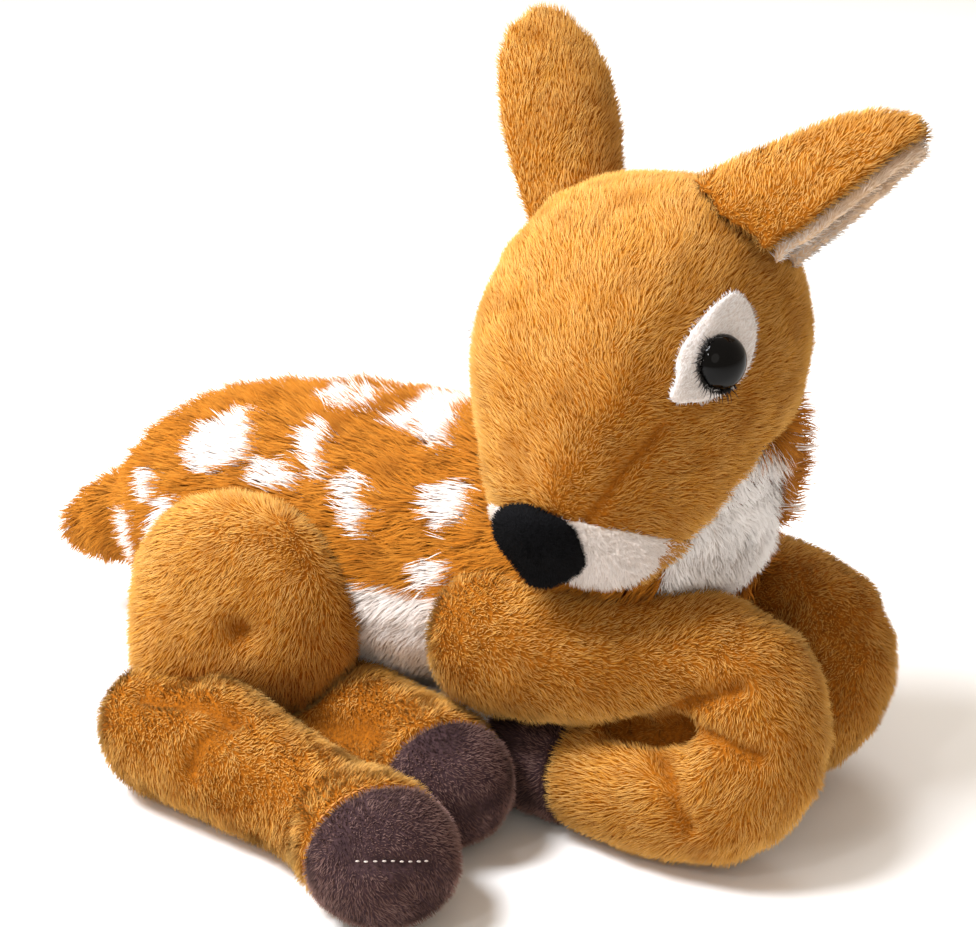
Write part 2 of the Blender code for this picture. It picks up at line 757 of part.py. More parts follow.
def make_ear(side_name, sign, head_form):
    """An ear: a plush back and its smaller lining, that turn a little about their root."""
    beside, ahead, above = ear_root_shares[side_name]
    root = head_at + (head_side * (beside * sign) + head_way * ahead + head_up * above) * HEAD_RADIUS
    way = head_vector(*ear_way_shares[side_name], sign).normalized()
    cup_guess = head_vector(*ear_cup_shares[side_name], sign)
    cup_way = (cup_guess - way * cup_guess.dot(way)).normalized()
    across = way.cross(cup_way).normalized()
    axes = (way, across, cup_way)
    rows = ear_fold_shares[side_name]
    ear_length = EAR_LENGTH * ear_length_shares[side_name]
    start = root - way * (ear_sheet_shares["root"] * ear_length)
    back = ear_sheet(f"ear_back_{side_name}", start, axes, rows, EAR_WIDTH, ear_length, 0)
    thicken(back, EAR_BACK_THICKNESS)
    lining_start = start + way * (ear_sheet_shares["start"] * ear_length)
    width = EAR_WIDTH * ear_sheet_shares["width"]
    length = ear_length * ear_sheet_shares["length"]
    shift = (EAR_BACK_THICKNESS + EAR_LINING_THICKNESS) / 2 + EAR_LINING_CLEARANCE
    lining = ear_sheet(f"ear_lining_{side_name}", lining_start, axes, rows, width, length, shift)
    thicken(lining, EAR_LINING_THICKNESS)
    swings = (-EAR_SWING_DEG, 0, EAR_SWING_DEG)
    turn_way = (root - head_at).normalized()
    seat = swept_cutter(head_form, f"head_under_ear_{side_name}", root, turn_way, swings, GAP)
    combine(back, seat)
    combine(lining, seat)
    finish(back, "plush")
    finish(lining, "ear_lining")
    return hang_on(f"ear_axis_{side_name}", root, (back, lining), parts)


def make_tail(torso_form):
    behind, above = tail_root_shares
    root = torso_at + Vector((behind * TORSO_LENGTH, 0, above * TORSO_HEIGHT))
    rows = []
    for along, up, radius in tail_shares:
        place = root + Vector((-along * TAIL_LENGTH, 0, up * TAIL_LENGTH))
        rows.append((place, radius * TAIL_RADIUS, radius * TAIL_RADIUS))
    tail = loft("tail", rows, parts, LIMB_SIDES, LIMB_RINGS, Y_AXIS)
    swings = (-TAIL_SWING_DEG, 0, TAIL_SWING_DEG)
    combine(tail, swept_cutter(torso_form, "torso_at_tail", root, "Y", swings, GAP))
    finish(tail, "long_pile")
    hang_on("tail_axis", root, (tail,), parts)


def make_thigh(side_name, sign, torso_cutter):
    centre = torso_at + Vector((-THIGH_BACK, sign * THIGH_OUT, THIGH_HEIGHT - BELLY_CLEARANCE))
    radii = (THIGH_HALF_LENGTH, THIGH_THICKNESS / 2, THIGH_RADIUS)
    thigh = ball(f"thigh_{side_name}", centre, radii, UNTURNED, parts)
    form = as_cutter(link_mesh(f"thigh_form_{side_name}", thigh.data.copy(), cutters))
    combine(thigh, torso_cutter)
    finish(thigh, "plush")
    return form


def leg_stations(shares, hock, reach, spread, radius):
    rows = []
    for along, out, up, wide, high in shares:
        place = hock + Vector((along * reach, out * spread, up * radius - FLAT_DEPTH))
        rows.append((place, wide * radius, high * radius))
    return rows


def make_hind_leg(side_name, stations, seam_share, side_hint):
    """A lower leg and its hoof, parted flat at the hoof's seam."""
    leg_form = (stations, parts, LIMB_SIDES, LIMB_RINGS, side_hint)
    hoof_form = (stations, parts, LIMB_SIDES, LIMB_RINGS - 4, side_hint)
    leg = loft(f"hind_leg_{side_name}", *leg_form, high_share=seam_share)
    hoof = loft(f"hind_hoof_{side_name}", *hoof_form, low_share=seam_share + SEAM_STEP_SHARE)
    for piece in (leg, hoof):
        combine(piece, floor)
    finish(leg, "plush")
    finish(hoof, "hoof_plush")
    return leg, hoof


def front_leg_stations(sign, shoulder_forward, shoulder_out, lean, fold, spread):
    """The upper leg, the half turn of the bend and the forearm folded back beside and under it."""
    low = FRONT_LEG_RADIUS * forearm_shares[0][2] - FLAT_DEPTH
    fold_way = Vector((0, -sign * math.sin(fold), math.cos(fold)))
    start = torso_at + Vector((shoulder_forward, sign * shoulder_out, 0))
    start.z = low + 2 * BEND_RADIUS * math.cos(fold)
    rows = []
    for along, out, up, swell in upper_leg_shares:
        drop = up * UPPER_LEG_REACH * math.cos(fold) ** 2
        place = start + Vector((along * UPPER_LEG_REACH, sign * out * lean, drop))
        rows.append((place, swell * FRONT_LEG_RADIUS, swell * FRONT_LEG_RADIUS))
    bend = start + Vector((UPPER_LEG_REACH, 0, 0)) - fold_way * BEND_RADIUS
    bend_wide = bend_shares[0] * FRONT_LEG_RADIUS
    bend_high = bend_shares[1] * BEND_RADIUS
    for step in range(1, BEND_STEPS):
        swing = math.pi * (0.5 - step / BEND_STEPS)
        place = bend + X_AXIS * (BEND_RADIUS * math.cos(swing)) + fold_way * (BEND_RADIUS * math.sin(swing))
        rows.append((place, bend_wide, bend_high))
    for back, out, up, swell in forearm_shares:
        place = bend - fold_way * BEND_RADIUS + Vector((-back * FOREARM_REACH, out * spread, 0))
        place.z = up * FRONT_LEG_RADIUS - FLAT_DEPTH
        rows.append((place, swell * FRONT_LEG_RADIUS, swell * FRONT_LEG_RADIUS))
    return rows, start


def make_front_leg(side_name, sign, shoulder, lift, fold_degrees, spread, torso_form):
    fold = math.radians(fold_degrees)
    rows, shoulder = front_leg_stations(sign, *shoulder, fold, spread)
    side_hint = Vector((0, math.cos(fold), sign * math.sin(fold)))
    leg_form = (rows, parts, LIMB_SIDES, LIMB_RINGS * 2 - 2, side_hint)
    hoof_form = (rows, parts, LIMB_SIDES, LIMB_RINGS - 4, side_hint)
    leg = loft(f"front_leg_{side_name}", *leg_form, high_share=FRONT_SEAM_SHARE)
    hoof = loft(f"front_hoof_{side_name}", *hoof_form, low_share=FRONT_SEAM_SHARE + SEAM_STEP_SHARE)
    swings = (-lift, 0)
    seat = swept_cutter(torso_form, f"torso_at_shoulder_{side_name}", shoulder, "Y", swings, GAP)
    forms = [fattened(piece, f"{piece.name}_form", GAP) for piece in (leg, hoof)]
    combine(leg, forms[1])
    for piece in (leg, hoof):
        combine(piece, seat)
        combine(piece, floor)
    finish(leg, "plush")
    finish(hoof, "hoof_plush")
    hang_on(f"shoulder_axis_{side_name}", shoulder, (leg, hoof), parts)
    return [fattened(piece, f"{piece.name}_swept", TUCKED_CLEARANCE) for piece in forms]


X_AXIS = Vector((1, 0, 0))
Y_AXIS = Vector((0, 1, 0))
Z_AXIS = Vector((0, 0, 1))
UNTURNED = Matrix.Identity(3)

clear_scene()
parts = new_collection("plush_fawn")
cutters = new_collection("cutters", cutters=True)

torso_at = Vector((TORSO_MIDDLE_X, TORSO_MIDDLE_Y, BELLY_CLEARANCE))
neck_ahead = NECK_FORWARD_SHARE * TORSO_LENGTH
neck_pivot = torso_at + Vector((neck_ahead, 0, TORSO_HEIGHT + NECK_RISE))
head_at = neck_pivot + Vector((-HEAD_BACK, HEAD_SIDE, HEAD_RISE))
face_turn = math.radians(HEAD_TURN_DEG)
head_way = Vector((math.cos(face_turn), math.sin(face_turn), 0))
head_up = Matrix.Rotation(math.radians(HEAD_ROLL_DEG), 3, head_way) @ Z_AXIS
head_side = head_up.cross(head_way)
face_tip = math.radians(HEAD_TIP_DEG)
muzzle_way = head_way * math.cos(face_tip) - head_up * math.sin(face_tip)
muzzle_up = head_way * math.sin(face_tip) + head_up * math.cos(face_tip)
nose_tip = math.radians(NOSE_TIP_DEG)
nose_way = head_way * math.cos(nose_tip) - head_up * math.sin(nose_tip)

floor_low = Vector((-TORSO_LENGTH, -TORSO_LENGTH, -TORSO_LENGTH)) * 2
floor_high = Vector((TORSO_LENGTH, TORSO_LENGTH, 0)) * 2
floor = as_cutter(block("floor", floor_low, floor_high, cutters))
torso_form = make_torso()
torso_cutter = fattened(torso_form, "torso_cutter", GAP)
head_skin, muzzle_band, head_filling, head_form = make_head(torso_form)
head_cutter = fattened(head_form, "head_cutter", GAP)
head_shape = bmesh.new()
head_shape.from_mesh(head_form.data)
head_tree = BVHTree.FromBMesh(head_shape)
head_pieces = [head_skin, muzzle_band, head_filling, make_nose(head_tree, head_cutter)]
for side_name, sign, spread_degrees in (("left", 1, LEFT_EYE_SPREAD_DEG),
                                        ("right", -1, RIGHT_EYE_SPREAD_DEG)):
    eye_form = (head_tree, head_form, (head_skin, head_filling))
    head_pieces += make_eye(side_name, sign, spread_degrees, *eye_form)
    head_pieces.append(make_ear(side_name, sign, head_form))
head_shape.free()
hang_on("neck_axis", neck_pivot, head_pieces, parts)
make_tail(torso_form)

thigh_forms = {}
for side_name, sign in (("left", 1), ("right", -1)):
    thigh_forms[side_name] = make_thigh(side_name, sign, torso_cutter)
left_shoulder = (LEFT_SHOULDER_FORWARD, LEFT_SHOULDER_OUT, LEFT_SHOULDER_LEAN)
right_shoulder = (RIGHT_SHOULDER_FORWARD, RIGHT_SHOULDER_OUT, RIGHT_SHOULDER_LEAN)
make_front_leg("left", 1, left_shoulder, LEFT_SHOULDER_LIFT_DEG, LEFT_FOLD_DEG, LEFT_FOREARM_SPREAD,
               torso_form)
front_forms = make_front_leg("right", -1, right_shoulder, RIGHT_SHOULDER_LIFT_DEG, RIGHT_FOLD_DEG,
                             RIGHT_FOREARM_SPREAD, torso_form)

hock_at = Vector((torso_at.x - HIND_LEG_BACK, torso_at.y - HIND_LEG_OUT, 0))
right_rows = leg_stations(hind_leg_shares, hock_at, HIND_LEG_REACH, -HIND_LEG_SPREAD, HIND_LEG_RADIUS)
right_leg, right_hoof = make_hind_leg("right", right_rows, HIND_SEAM_SHARE, Y_AXIS)
near_forms = [fattened(piece, f"{piece.name}_form", GAP) for piece in (right_leg, right_hoof)]
swings = (-HOCK_SWING_DEG, -HOCK_SWING_DEG / 2, 0)
combine(right_leg, swept_cutter(thigh_forms["right"], "thigh_over_hock", hock_at, "Z", swings, GAP))
hang_on("hock_axis", hock_at, (right_leg, right_hoof), parts)

tucked_at = Vector((torso_at.x - TUCKED_LEG_BACK, torso_at.y + TUCKED_LEG_OUT, 0))
left_rows = leg_stations(tucked_leg_shares, tucked_at, TUCKED_LEG_REACH, -TUCKED_LEG_SPREAD,
                         TUCKED_LEG_RADIUS)
left_leg, left_hoof = make_hind_leg("left", left_rows, TUCKED_SEAM_SHARE, X_AXIS)
combine(left_leg, torso_cutter)
for side_name, thigh_form in thigh_forms.items():
    combine(left_leg, fattened(thigh_form, f"thigh_{side_name}_over_tucked_leg", GAP))
for piece in (left_leg, left_hoof):
    for form in front_forms + near_forms:
        combine(piece, form)
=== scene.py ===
import math

import bpy
import numpy as np
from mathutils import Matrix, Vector
from mathutils.bvhtree import BVHTree
from mathutils.kdtree import KDTree


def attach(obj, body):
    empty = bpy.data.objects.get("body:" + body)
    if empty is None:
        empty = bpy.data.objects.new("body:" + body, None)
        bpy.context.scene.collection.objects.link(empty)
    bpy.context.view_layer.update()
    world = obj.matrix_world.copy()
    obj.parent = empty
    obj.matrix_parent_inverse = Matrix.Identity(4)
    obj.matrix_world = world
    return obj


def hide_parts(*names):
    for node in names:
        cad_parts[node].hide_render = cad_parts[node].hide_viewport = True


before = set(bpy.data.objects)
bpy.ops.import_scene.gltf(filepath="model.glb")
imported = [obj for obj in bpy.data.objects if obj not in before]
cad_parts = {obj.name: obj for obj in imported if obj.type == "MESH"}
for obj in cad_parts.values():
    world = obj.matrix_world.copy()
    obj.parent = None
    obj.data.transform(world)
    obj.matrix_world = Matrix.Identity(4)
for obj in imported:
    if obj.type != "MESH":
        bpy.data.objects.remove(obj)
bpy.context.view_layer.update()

MM = 0.001
PER_CM2 = 10000


def alone(*pieces):
    """Only these pieces are selected, and the first is active."""
    bpy.ops.object.select_all(action="DESELECT")
    for piece in pieces:
        piece.select_set(True)
    bpy.context.view_layer.objects.active = pieces[0]


def shaped(piece, kind, **settings):
    """Gives a piece one modifier with these settings and applies it."""
    alone(piece)
    step = piece.modifiers.new(kind.lower(), kind)
    for name, value in settings.items():
        setattr(step, name, value)
    bpy.ops.object.modifier_apply(modifier=step.name)
    return piece


def corners(piece):
    found = np.empty(len(piece.data.vertices) * 3)
    piece.data.vertices.foreach_get("co", found)
    return found.reshape(-1, 3)


def ways_out(piece):
    """The direction away from the surface at each corner."""
    found = np.empty(len(piece.data.vertices) * 3)
    piece.data.vertex_normals.foreach_get("vector", found)
    return found.reshape(-1, 3)


def put_corners(piece, places):
    piece.data.vertices.foreach_set("co", np.ascontiguousarray(places).ravel())
    piece.data.update()


def long_as_one(ways):
    """The same directions, each one unit long."""
    return ways / np.maximum(np.linalg.norm(ways, axis=-1, keepdims=True), 1e-9)


def drift(places, size, seed):
    """A smooth field from about -1 to 1 that changes over this size in metres."""
    rng = np.random.default_rng(seed)
    ways = long_as_one(rng.normal(size=(14, 3))) * rng.uniform(0.6, 1.5, (14, 1)) * 2 * math.pi / size
    return np.sin(places @ ways.T + rng.uniform(0, 6.28, 14)).sum(axis=1) / 5


# Materials

def linear(colour):
    """The sRGB colour of a hex code as the linear numbers that shaders use."""
    shares = [int(colour[at:at + 2], 16) / 255 for at in (1, 3, 5)]
    return [c / 12.92 if c <= 0.04045 else ((c + 0.055) / 1.055) ** 2.4 for c in shares] + [1]


def add(tree, kind, links=(), **settings):
    """Adds a node, sets it, and joins its inputs: (input, node, output)."""
    made = tree.nodes.new(kind)
    for name, value in settings.items():
        if name == "stops":
            while len(made.color_ramp.elements) < len(value):
                made.color_ramp.elements.new(0.5)
            for stop, (place, colour) in zip(made.color_ramp.elements, value):
                stop.position, stop.color = place, linear(colour)
        elif name.startswith("in_"):
            socket = name[3:]
            made.inputs[int(socket) if socket.isdigit() else socket.replace("_", " ")].default_value = value
        else:
            setattr(made, name, value)
    for into, source, output in links:
        tree.links.new(source.outputs[output], made.inputs[into])
    return made


def new_material(name, **shader):
    """A material of that name, its node tree and its shader with these values."""
    made = bpy.data.materials.new(name)
    made.use_nodes = True
    tree = made.node_tree
    shown = tree.nodes["Principled BSDF"]
    for socket, value in shader.items():
        shown.inputs[socket.replace("_", " ")].default_value = value
    return made, tree, shown


def fibre(name, roots, tips, pale, white_roots="#CDBFB5", white_tips="#F3EDE8", patch_mm=14, sheen=0.35):
    """Dyed polyester pile: paler at the tips, darker towards the roots with painted shade, with a soft sheen, no two
    fibres quite alike.
    """
    made, tree, shown = new_material(
        name, Roughness=0.82, Specular_IOR_Level=0.12, Sheen_Weight=sheen, Sheen_Roughness=0.45,
        Sheen_Tint=linear(pale))
    along = add(tree, "ShaderNodeAttribute", attribute_name="along")
    tone = add(tree, "ShaderNodeAttribute", attribute_name="tone")
    mark = add(tree, "ShaderNodeAttribute", attribute_name="mark")
    place = add(tree, "ShaderNodeTexCoord")
    cloud = add(tree, "ShaderNodeTexNoise", [("Vector", place, "Object")],
                in_Scale=1000 / patch_mm, in_Detail=2.0)
    mottled = add(tree, "ShaderNodeMath", [(0, cloud, "Fac"), (1, tone, "Fac")], operation="ADD")
    mottled = add(tree, "ShaderNodeMath", [(0, mottled, 0)], operation="MULTIPLY_ADD", in_1=0.55, in_2=-0.2,
                  use_clamp=True)
    tinted = add(tree, "ShaderNodeMix", [("Factor", mottled, 0)], data_type="RGBA",
                 in_6=linear(tips), in_7=linear(pale))
    # Painted shade: each fibre, golden or white, darkens towards its root, and more in folds and partings, as if the
    # pile shaded itself there
    dyed_and_shaded = add(tree, "ShaderNodeMix", [("Factor", along, "Fac"), (7, tinted, 2)], data_type="RGBA",
               in_6=linear(roots))
    white = add(tree, "ShaderNodeMix", [("Factor", along, "Fac")], data_type="RGBA",
                in_6=linear(white_roots), in_7=linear(white_tips))
    both = add(tree, "ShaderNodeMix", [("Factor", mark, "Fac"), (6, dyed_and_shaded, 2), (7, white, 2)], data_type="RGBA")
    tree.links.new(both.outputs[2], shown.inputs["Base Color"])
    return made


def knitted(name, colour, dark, pitch_mm=1.4):
    """Knitted backing under a pile: dull, mottled and finely bumpy, seen only where the pile parts."""
    made, tree, shown = new_material(name, Roughness=0.95, Specular_IOR_Level=0.1)
    place = add(tree, "ShaderNodeTexCoord")
    cloud = add(tree, "ShaderNodeTexNoise", [("Vector", place, "Object")], in_Scale=1000 / pitch_mm, in_Detail=3.0)
    ramp = add(tree, "ShaderNodeValToRGB", [("Fac", cloud, "Fac")], stops=[(0.3, dark), (0.7, colour)])
    tree.links.new(ramp.outputs["Color"], shown.inputs["Base Color"])
    bump = add(tree, "ShaderNodeBump", [("Height", cloud, "Fac")], in_Strength=0.5, in_Distance=0.6 * MM)
    tree.links.new(bump.outputs["Normal"], shown.inputs["Normal"])
    return made


def one_colour(name, colour, dark, roughness, grain_mm, shine=0.5):
    """Plastic or thread: one colour with a faint cloud in it, glossy or dull by its roughness."""
    made, tree, shown = new_material(name, Roughness=roughness, IOR=1.49, Specular_IOR_Level=shine)
    place = add(tree, "ShaderNodeTexCoord")
    cloud = add(tree, "ShaderNodeTexNoise", [("Vector", place, "Object")], in_Scale=1000 / grain_mm, in_Detail=2.0)
    ramp = add(tree, "ShaderNodeValToRGB", [("Fac", cloud, "Fac")], stops=[(0.3, dark), (0.7, colour)])
    tree.links.new(ramp.outputs["Color"], shown.inputs["Base Color"])
    return made


materials = {
    # Pile: paler tips over painted shade, a deeper colour towards the roots between the fibres
    "long_pile": fibre("long_polyester_pile", "#6E3604", "#B96C12", "#D39036", patch_mm=16, sheen=0.15),
    "plush": fibre("short_golden_plush", "#8F4F0A", "#DE9A34", "#F7CC80", patch_mm=12, sheen=0.35),
    "white_plush": fibre("short_white_plush", "#DDD5D0", "#FBF8F6", "#FFFEFC", patch_mm=10),
    "lining_plush": fibre("ear_lining_plush", "#D9B99A", "#EBD3BA", "#F8E9DA", patch_mm=9),
    "hoof_plush": fibre("short_brown_plush", "#1E100E", "#6C4A42", "#B8948A", patch_mm=6, sheen=0.7),
    "nose_plush": fibre("short_black_plush", "#040405", "#0B0B0D", "#1A1A1D", patch_mm=5, sheen=0.2),
    # Cloth under the pile, so that a parting shows no gap
    "long_backing": knitted("knit_under_long_pile", "#94500F", "#6B3507"),
    "plush_backing": knitted("knit_under_golden_plush", "#A25E12", "#77430A"),
    "white_backing": knitted("knit_under_white_plush", "#E4DBD5", "#CABEB7"),
    "lining_backing": knitted("knit_under_ear_lining", "#E2C6A8", "#C9A682"),
    "hoof_backing": knitted("knit_under_brown_plush", "#453233", "#2E2023"),
    "nose_backing": knitted("knit_under_black_plush", "#0B0B0D", "#050506"),
    # A wet black shine on the eyes, dull black lashes, milky washers and matt threads
    "eye": one_colour("polished_black_acrylic", "#060505", "#030303", 0.05, 8, shine=0.14),
    "lash": one_colour("lash_fibre", "#16100D", "#0C0807", 0.5, 2),
    "washer": one_colour("moulded_polyethylene_washer", "#E9E9E5", "#D9D9D4", 0.45, 6),
    "white_thread": one_colour("white_sewing_thread", "#C9BDB5", "#A3968E", 0.7, 0.8),
    "golden_thread": one_colour("golden_sewing_thread", "#D08A3A", "#A8651F", 0.7, 0.8),
}


def dress(piece, *names):
    piece.data.materials.clear()
    for name in names:
        piece.data.materials.append(materials[name])


# Sewn forms: each is the cloth of one piece, filled

def cad_copy(name, node):
    """A new object with a copy of this node's mesh, its loose triangles joined."""
    piece = bpy.data.objects.new(name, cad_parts[node].data.copy())
    bpy.context.scene.collection.objects.link(piece)
    alone(piece)
    bpy.ops.object.mode_set(mode="EDIT")
    bpy.ops.mesh.select_all(action="SELECT")
    bpy.ops.mesh.remove_doubles(threshold=0.01 * MM)
    bpy.ops.object.mode_set(mode="OBJECT")
    piece.data.materials.clear()
    piece.name = piece.data.name = name
    return piece


def sewn_form(name, node, voxel, grow, smooth):
    """A smooth closed form over a node: moved out by grow, then remeshed, both in millimetres."""
    piece = cad_copy(name, node)
    if grow:
        shaped(piece, "DISPLACE", strength=grow * MM, mid_level=0)
    shaped(piece, "REMESH", mode="VOXEL", voxel_size=voxel * MM, use_smooth_shade=True)
    shaped(piece, "SMOOTH", factor=0.5, iterations=smooth)
    return piece


CLOTH_FRAMES = 20


def fill_out(pieces, furthest):
    """The filling presses each sewn cloth outward; no point of it moves further than allowed."""
    before = {}
    for piece in pieces:
        before[piece] = corners(piece)
        skin = piece.modifiers.new("cloth", "CLOTH")
        skin.settings.quality = 4
        skin.settings.mass = 0.3
        skin.settings.tension_stiffness = 12
        skin.settings.compression_stiffness = 12
        skin.settings.bending_stiffness = 0.5
        skin.settings.use_pressure = True
        skin.settings.uniform_pressure_force = 4
        skin.settings.effector_weights.gravity = 0
        skin.point_cache.frame_start = 1
        skin.point_cache.frame_end = CLOTH_FRAMES
    for moment in range(1, CLOTH_FRAMES + 1):
        bpy.context.scene.frame_set(moment)
    for piece in pieces:
        alone(piece)
        bpy.ops.object.modifier_apply(modifier="cloth")
        moved = corners(piece) - before[piece]
        far = np.linalg.norm(moved, axis=1, keepdims=True)
        moved *= np.minimum(1, furthest[piece.name] * MM / np.maximum(far, 1e-9))
        put_corners(piece, before[piece] + moved)
    bpy.context.scene.frame_set(1)


# Name: body, nodes it stands for, node it is shaped on, then voxel, growth and cloth swell in mm, and smoothing
forms = {
    "torso": ("torso", ("torso_skin", "torso_filling"), "torso_filling", 4.0, 1.2, 1.2, 6),
    "belly": ("torso", ("belly_panel",), "belly_panel", 1.6, 0.0, 0.0, 3),
    "bib": ("torso", ("bib",), "bib", 1.4, 0.0, 0.0, 3),
    "tail": ("tail", ("tail",), "tail", 2.0, -0.4, 0.6, 4),
    "head": ("head", ("head_skin", "head_filling"), "head_filling", 3.0, 1.2, 0.6, 5),
    "muzzle_band": ("head", ("muzzle_band",), "muzzle_band", 1.2, 0.0, 0.0, 4),
    "nose": ("head", ("nose",), "nose", 1.4, 0.0, 0.3, 4),
    "eye_patch_left": ("head", ("eye_patch_left",), "eye_patch_left", 0.8, 0.0, 0.0, 3),
    "eye_patch_right": ("head", ("eye_patch_right",), "eye_patch_right", 0.8, 0.0, 0.0, 3),
    "ear_back_left": ("ear_left", ("ear_back_left",), "ear_back_left", 1.4, 0.0, 0.0, 4),
    "ear_back_right": ("ear_right", ("ear_back_right",), "ear_back_right", 1.4, 0.0, 0.0, 4),
    "ear_lining_left": ("ear_left", ("ear_lining_left",), "ear_lining_left", 1.2, 0.0, 0.0, 3),
    "ear_lining_right": ("ear_right", ("ear_lining_right",), "ear_lining_right", 1.2, 0.0, 0.0, 3),
    "thigh_left": ("torso", ("thigh_left",), "thigh_left", 3.0, -0.8, 1.2, 5),
    "thigh_right": ("torso", ("thigh_right",), "thigh_right", 3.0, -0.8, 1.2, 5),
    "hind_leg_left": ("torso", ("hind_leg_left",), "hind_leg_left", 2.5, -0.8, 1.0, 5),
    "hind_leg_right": ("hind_leg_right", ("hind_leg_right",), "hind_leg_right", 2.5, -0.8, 1.2, 5),
    "hind_hoof_left": ("torso", ("hind_hoof_left",), "hind_hoof_left", 2.0, -0.5, 0.6, 4),
    "hind_hoof_right": ("hind_leg_right", ("hind_hoof_right",), "hind_hoof_right", 2.0, -0.5, 0.6, 4),
    "front_leg_left": ("front_leg_left", ("front_leg_left",), "front_leg_left", 2.5, -0.8, 1.2, 5),
    "front_leg_right": ("front_leg_right", ("front_leg_right",), "front_leg_right", 2.5, -0.8, 1.2, 5),
    "front_hoof_left": ("front_leg_left", ("front_hoof_left",), "front_hoof_left", 2.0, -0.5, 0.6, 4),
    "front_hoof_right": ("front_leg_right", ("front_hoof_right",), "front_hoof_right", 2.0, -0.5, 0.6, 4),
}
backings = {"torso": "long_backing", "tail": "long_backing", "belly": "white_backing", "bib": "white_backing",
            "muzzle_band": "white_backing", "eye_patch_left": "white_backing", "eye_patch_right": "white_backing",
            "ear_lining_left": "lining_backing", "ear_lining_right": "lining_backing", "nose": "nose_backing",
            "hind_hoof_left": "hoof_backing", "hind_hoof_right": "hoof_backing",
            "front_hoof_left": "hoof_backing", "front_hoof_right": "hoof_backing"}

sewn = {}
for name, (_, _, shape, voxel, growth, _, smoothing) in forms.items():
    sewn[name] = sewn_form(f"{name}_cloth", shape, voxel, growth, smoothing)
swells = {sewn[name].name: row[5] for name, row in forms.items() if row[5]}
fill_out([piece for piece in sewn.values() if piece.name in swells], swells)
# The coarser forms are divided once more, and none of them reaches the floor
COARSE_VOXEL, ABOVE_FLOOR = 2.0, 0.3
for name, piece in sewn.items():
    if forms[name][3] >= COARSE_VOXEL:
        shaped(piece, "SUBSURF", levels=1, render_levels=1)
    places = corners(piece)
    places[:, 2] = np.maximum(places[:, 2], ABOVE_FLOOR * MM)
    put_corners(piece, places)


def draw_in(name, line, depth, width):
    """Pulls cloth in along a line of places, as a sewn seam or a fold does. All in millimetres."""
    piece = sewn[name]
    places, out = corners(piece), ways_out(piece)
    skin = BVHTree.FromObject(piece, bpy.context.evaluated_depsgraph_get())
    line = np.array([skin.find_nearest(Vector(spot) * MM)[0] for spot in line])
    if len(line) == 1:
        line = np.vstack([line, line + 1e-5])
    near = np.full(len(places), 1e9)
    for start, end in zip(line[:-1], line[1:]):
        span = end - start
        share = np.clip((places - start) @ span / (span @ span), 0, 1)
        near = np.minimum(near, np.linalg.norm(places - start - share[:, None] * span, axis=1))
    pull = np.exp(-(near / (width * MM)) ** 2)
    places -= out * (pull * depth * MM)[:, None]
    put_corners(piece, places)
    # The pull is kept as fold, which shortens the pile over it and darkens it with painted shade
    folds = piece.data.attributes.get("fold") or piece.data.attributes.new("fold", "FLOAT", "POINT")
    known = np.zeros(len(places), np.float32)
    folds.data.foreach_get("value", known)
    folds.data.foreach_set("value", np.maximum(known, pull).astype(np.float32))


def press(name, place, reach, shift):
    """Moves the cloth near a place, most at its middle, as filling pushed there by hand. In millimetres."""
    piece = sewn[name]
    places = corners(piece)
    share = np.exp(-((places - np.array(place) * MM) ** 2).sum(axis=1) / (reach * MM) ** 2)
    put_corners(piece, places + share[:, None] * np.array(shift) * MM)


# The near thigh runs into its lower leg at the back
press("thigh_right", (-60, -50, 43), 21, (-2, -13, -5))
press("hind_leg_right", (-52, -66, 55), 21, (3, 7, -11))
# The left ear's root is gathered, and the nose pad is squarer than its filling
press("ear_back_left", (131, 14, 198), 14, (5, 6, 8))
press("ear_lining_left", (131, 14, 198), 14, (5, 6, 8))
press("nose", (80.7, -34, 100.7), 8, (-1, -2, -4))
press("nose", (93.9, -40.9, 122.7), 6, (1, 0, 2))

# The tuft in the middle of each thigh, the folds where the legs bend or are tucked in, the near hind hoof's
# stitched crease, and the dart of the cheek
# Along each of these lines the pile is shortened and darkened with painted shade
draw_in("thigh_right", [(-27, -54, 62)], 6, 6)
draw_in("thigh_left", [(-27, 120, 62)], 6, 6)
draw_in("hind_leg_right", [(-54, -79, 50), (-43, -78, 49), (-26, -78, 47), (-13, -77, 44)], 3, 4)
draw_in("hind_leg_right", [(-13, -77, 44), (-20, -88, 38), (-22, -92, 28)], 2.2, 4)
draw_in("front_leg_right", [(101, -18, 42), (114, -20, 44), (128, -17, 49)], 9, 4)
draw_in("hind_hoof_right", [(61.9, -119.8, 32.2), (72.2, -114.7, 32.6), (80.4, -104.5, 29.8)], 1.4, 2.6)
draw_in("hind_leg_left", [(-4, -45, 27), (9, -49, 31), (24, -50, 35)], 4, 9)
draw_in("front_leg_right", [(118, -22, 52), (130, -24, 63), (146, -23, 71)], 3.4, 3.2)
draw_in("front_leg_right", [(118, -22, 50), (143, -28, 55), (157, -28, 52)], 3.2, 3.2)
draw_in("front_leg_right", [(114, -22, 48), (130, -30, 36), (138, -36, 24)], 3.0, 3.2)
draw_in("front_leg_left", [(112, 84, 44), (132, 92, 52), (158, 82, 56)], 2.4, 4)
draw_in("head", [(117.6, -25.9, 155.3), (111.9, -31.4, 146), (106.1, -36.7, 136.6), (99.2, -40, 126.2)], 1.6, 2.5)


# Pile

trees = {}
for name, piece in sewn.items():
    trees[name] = BVHTree.FromObject(piece, bpy.context.evaluated_depsgraph_get())


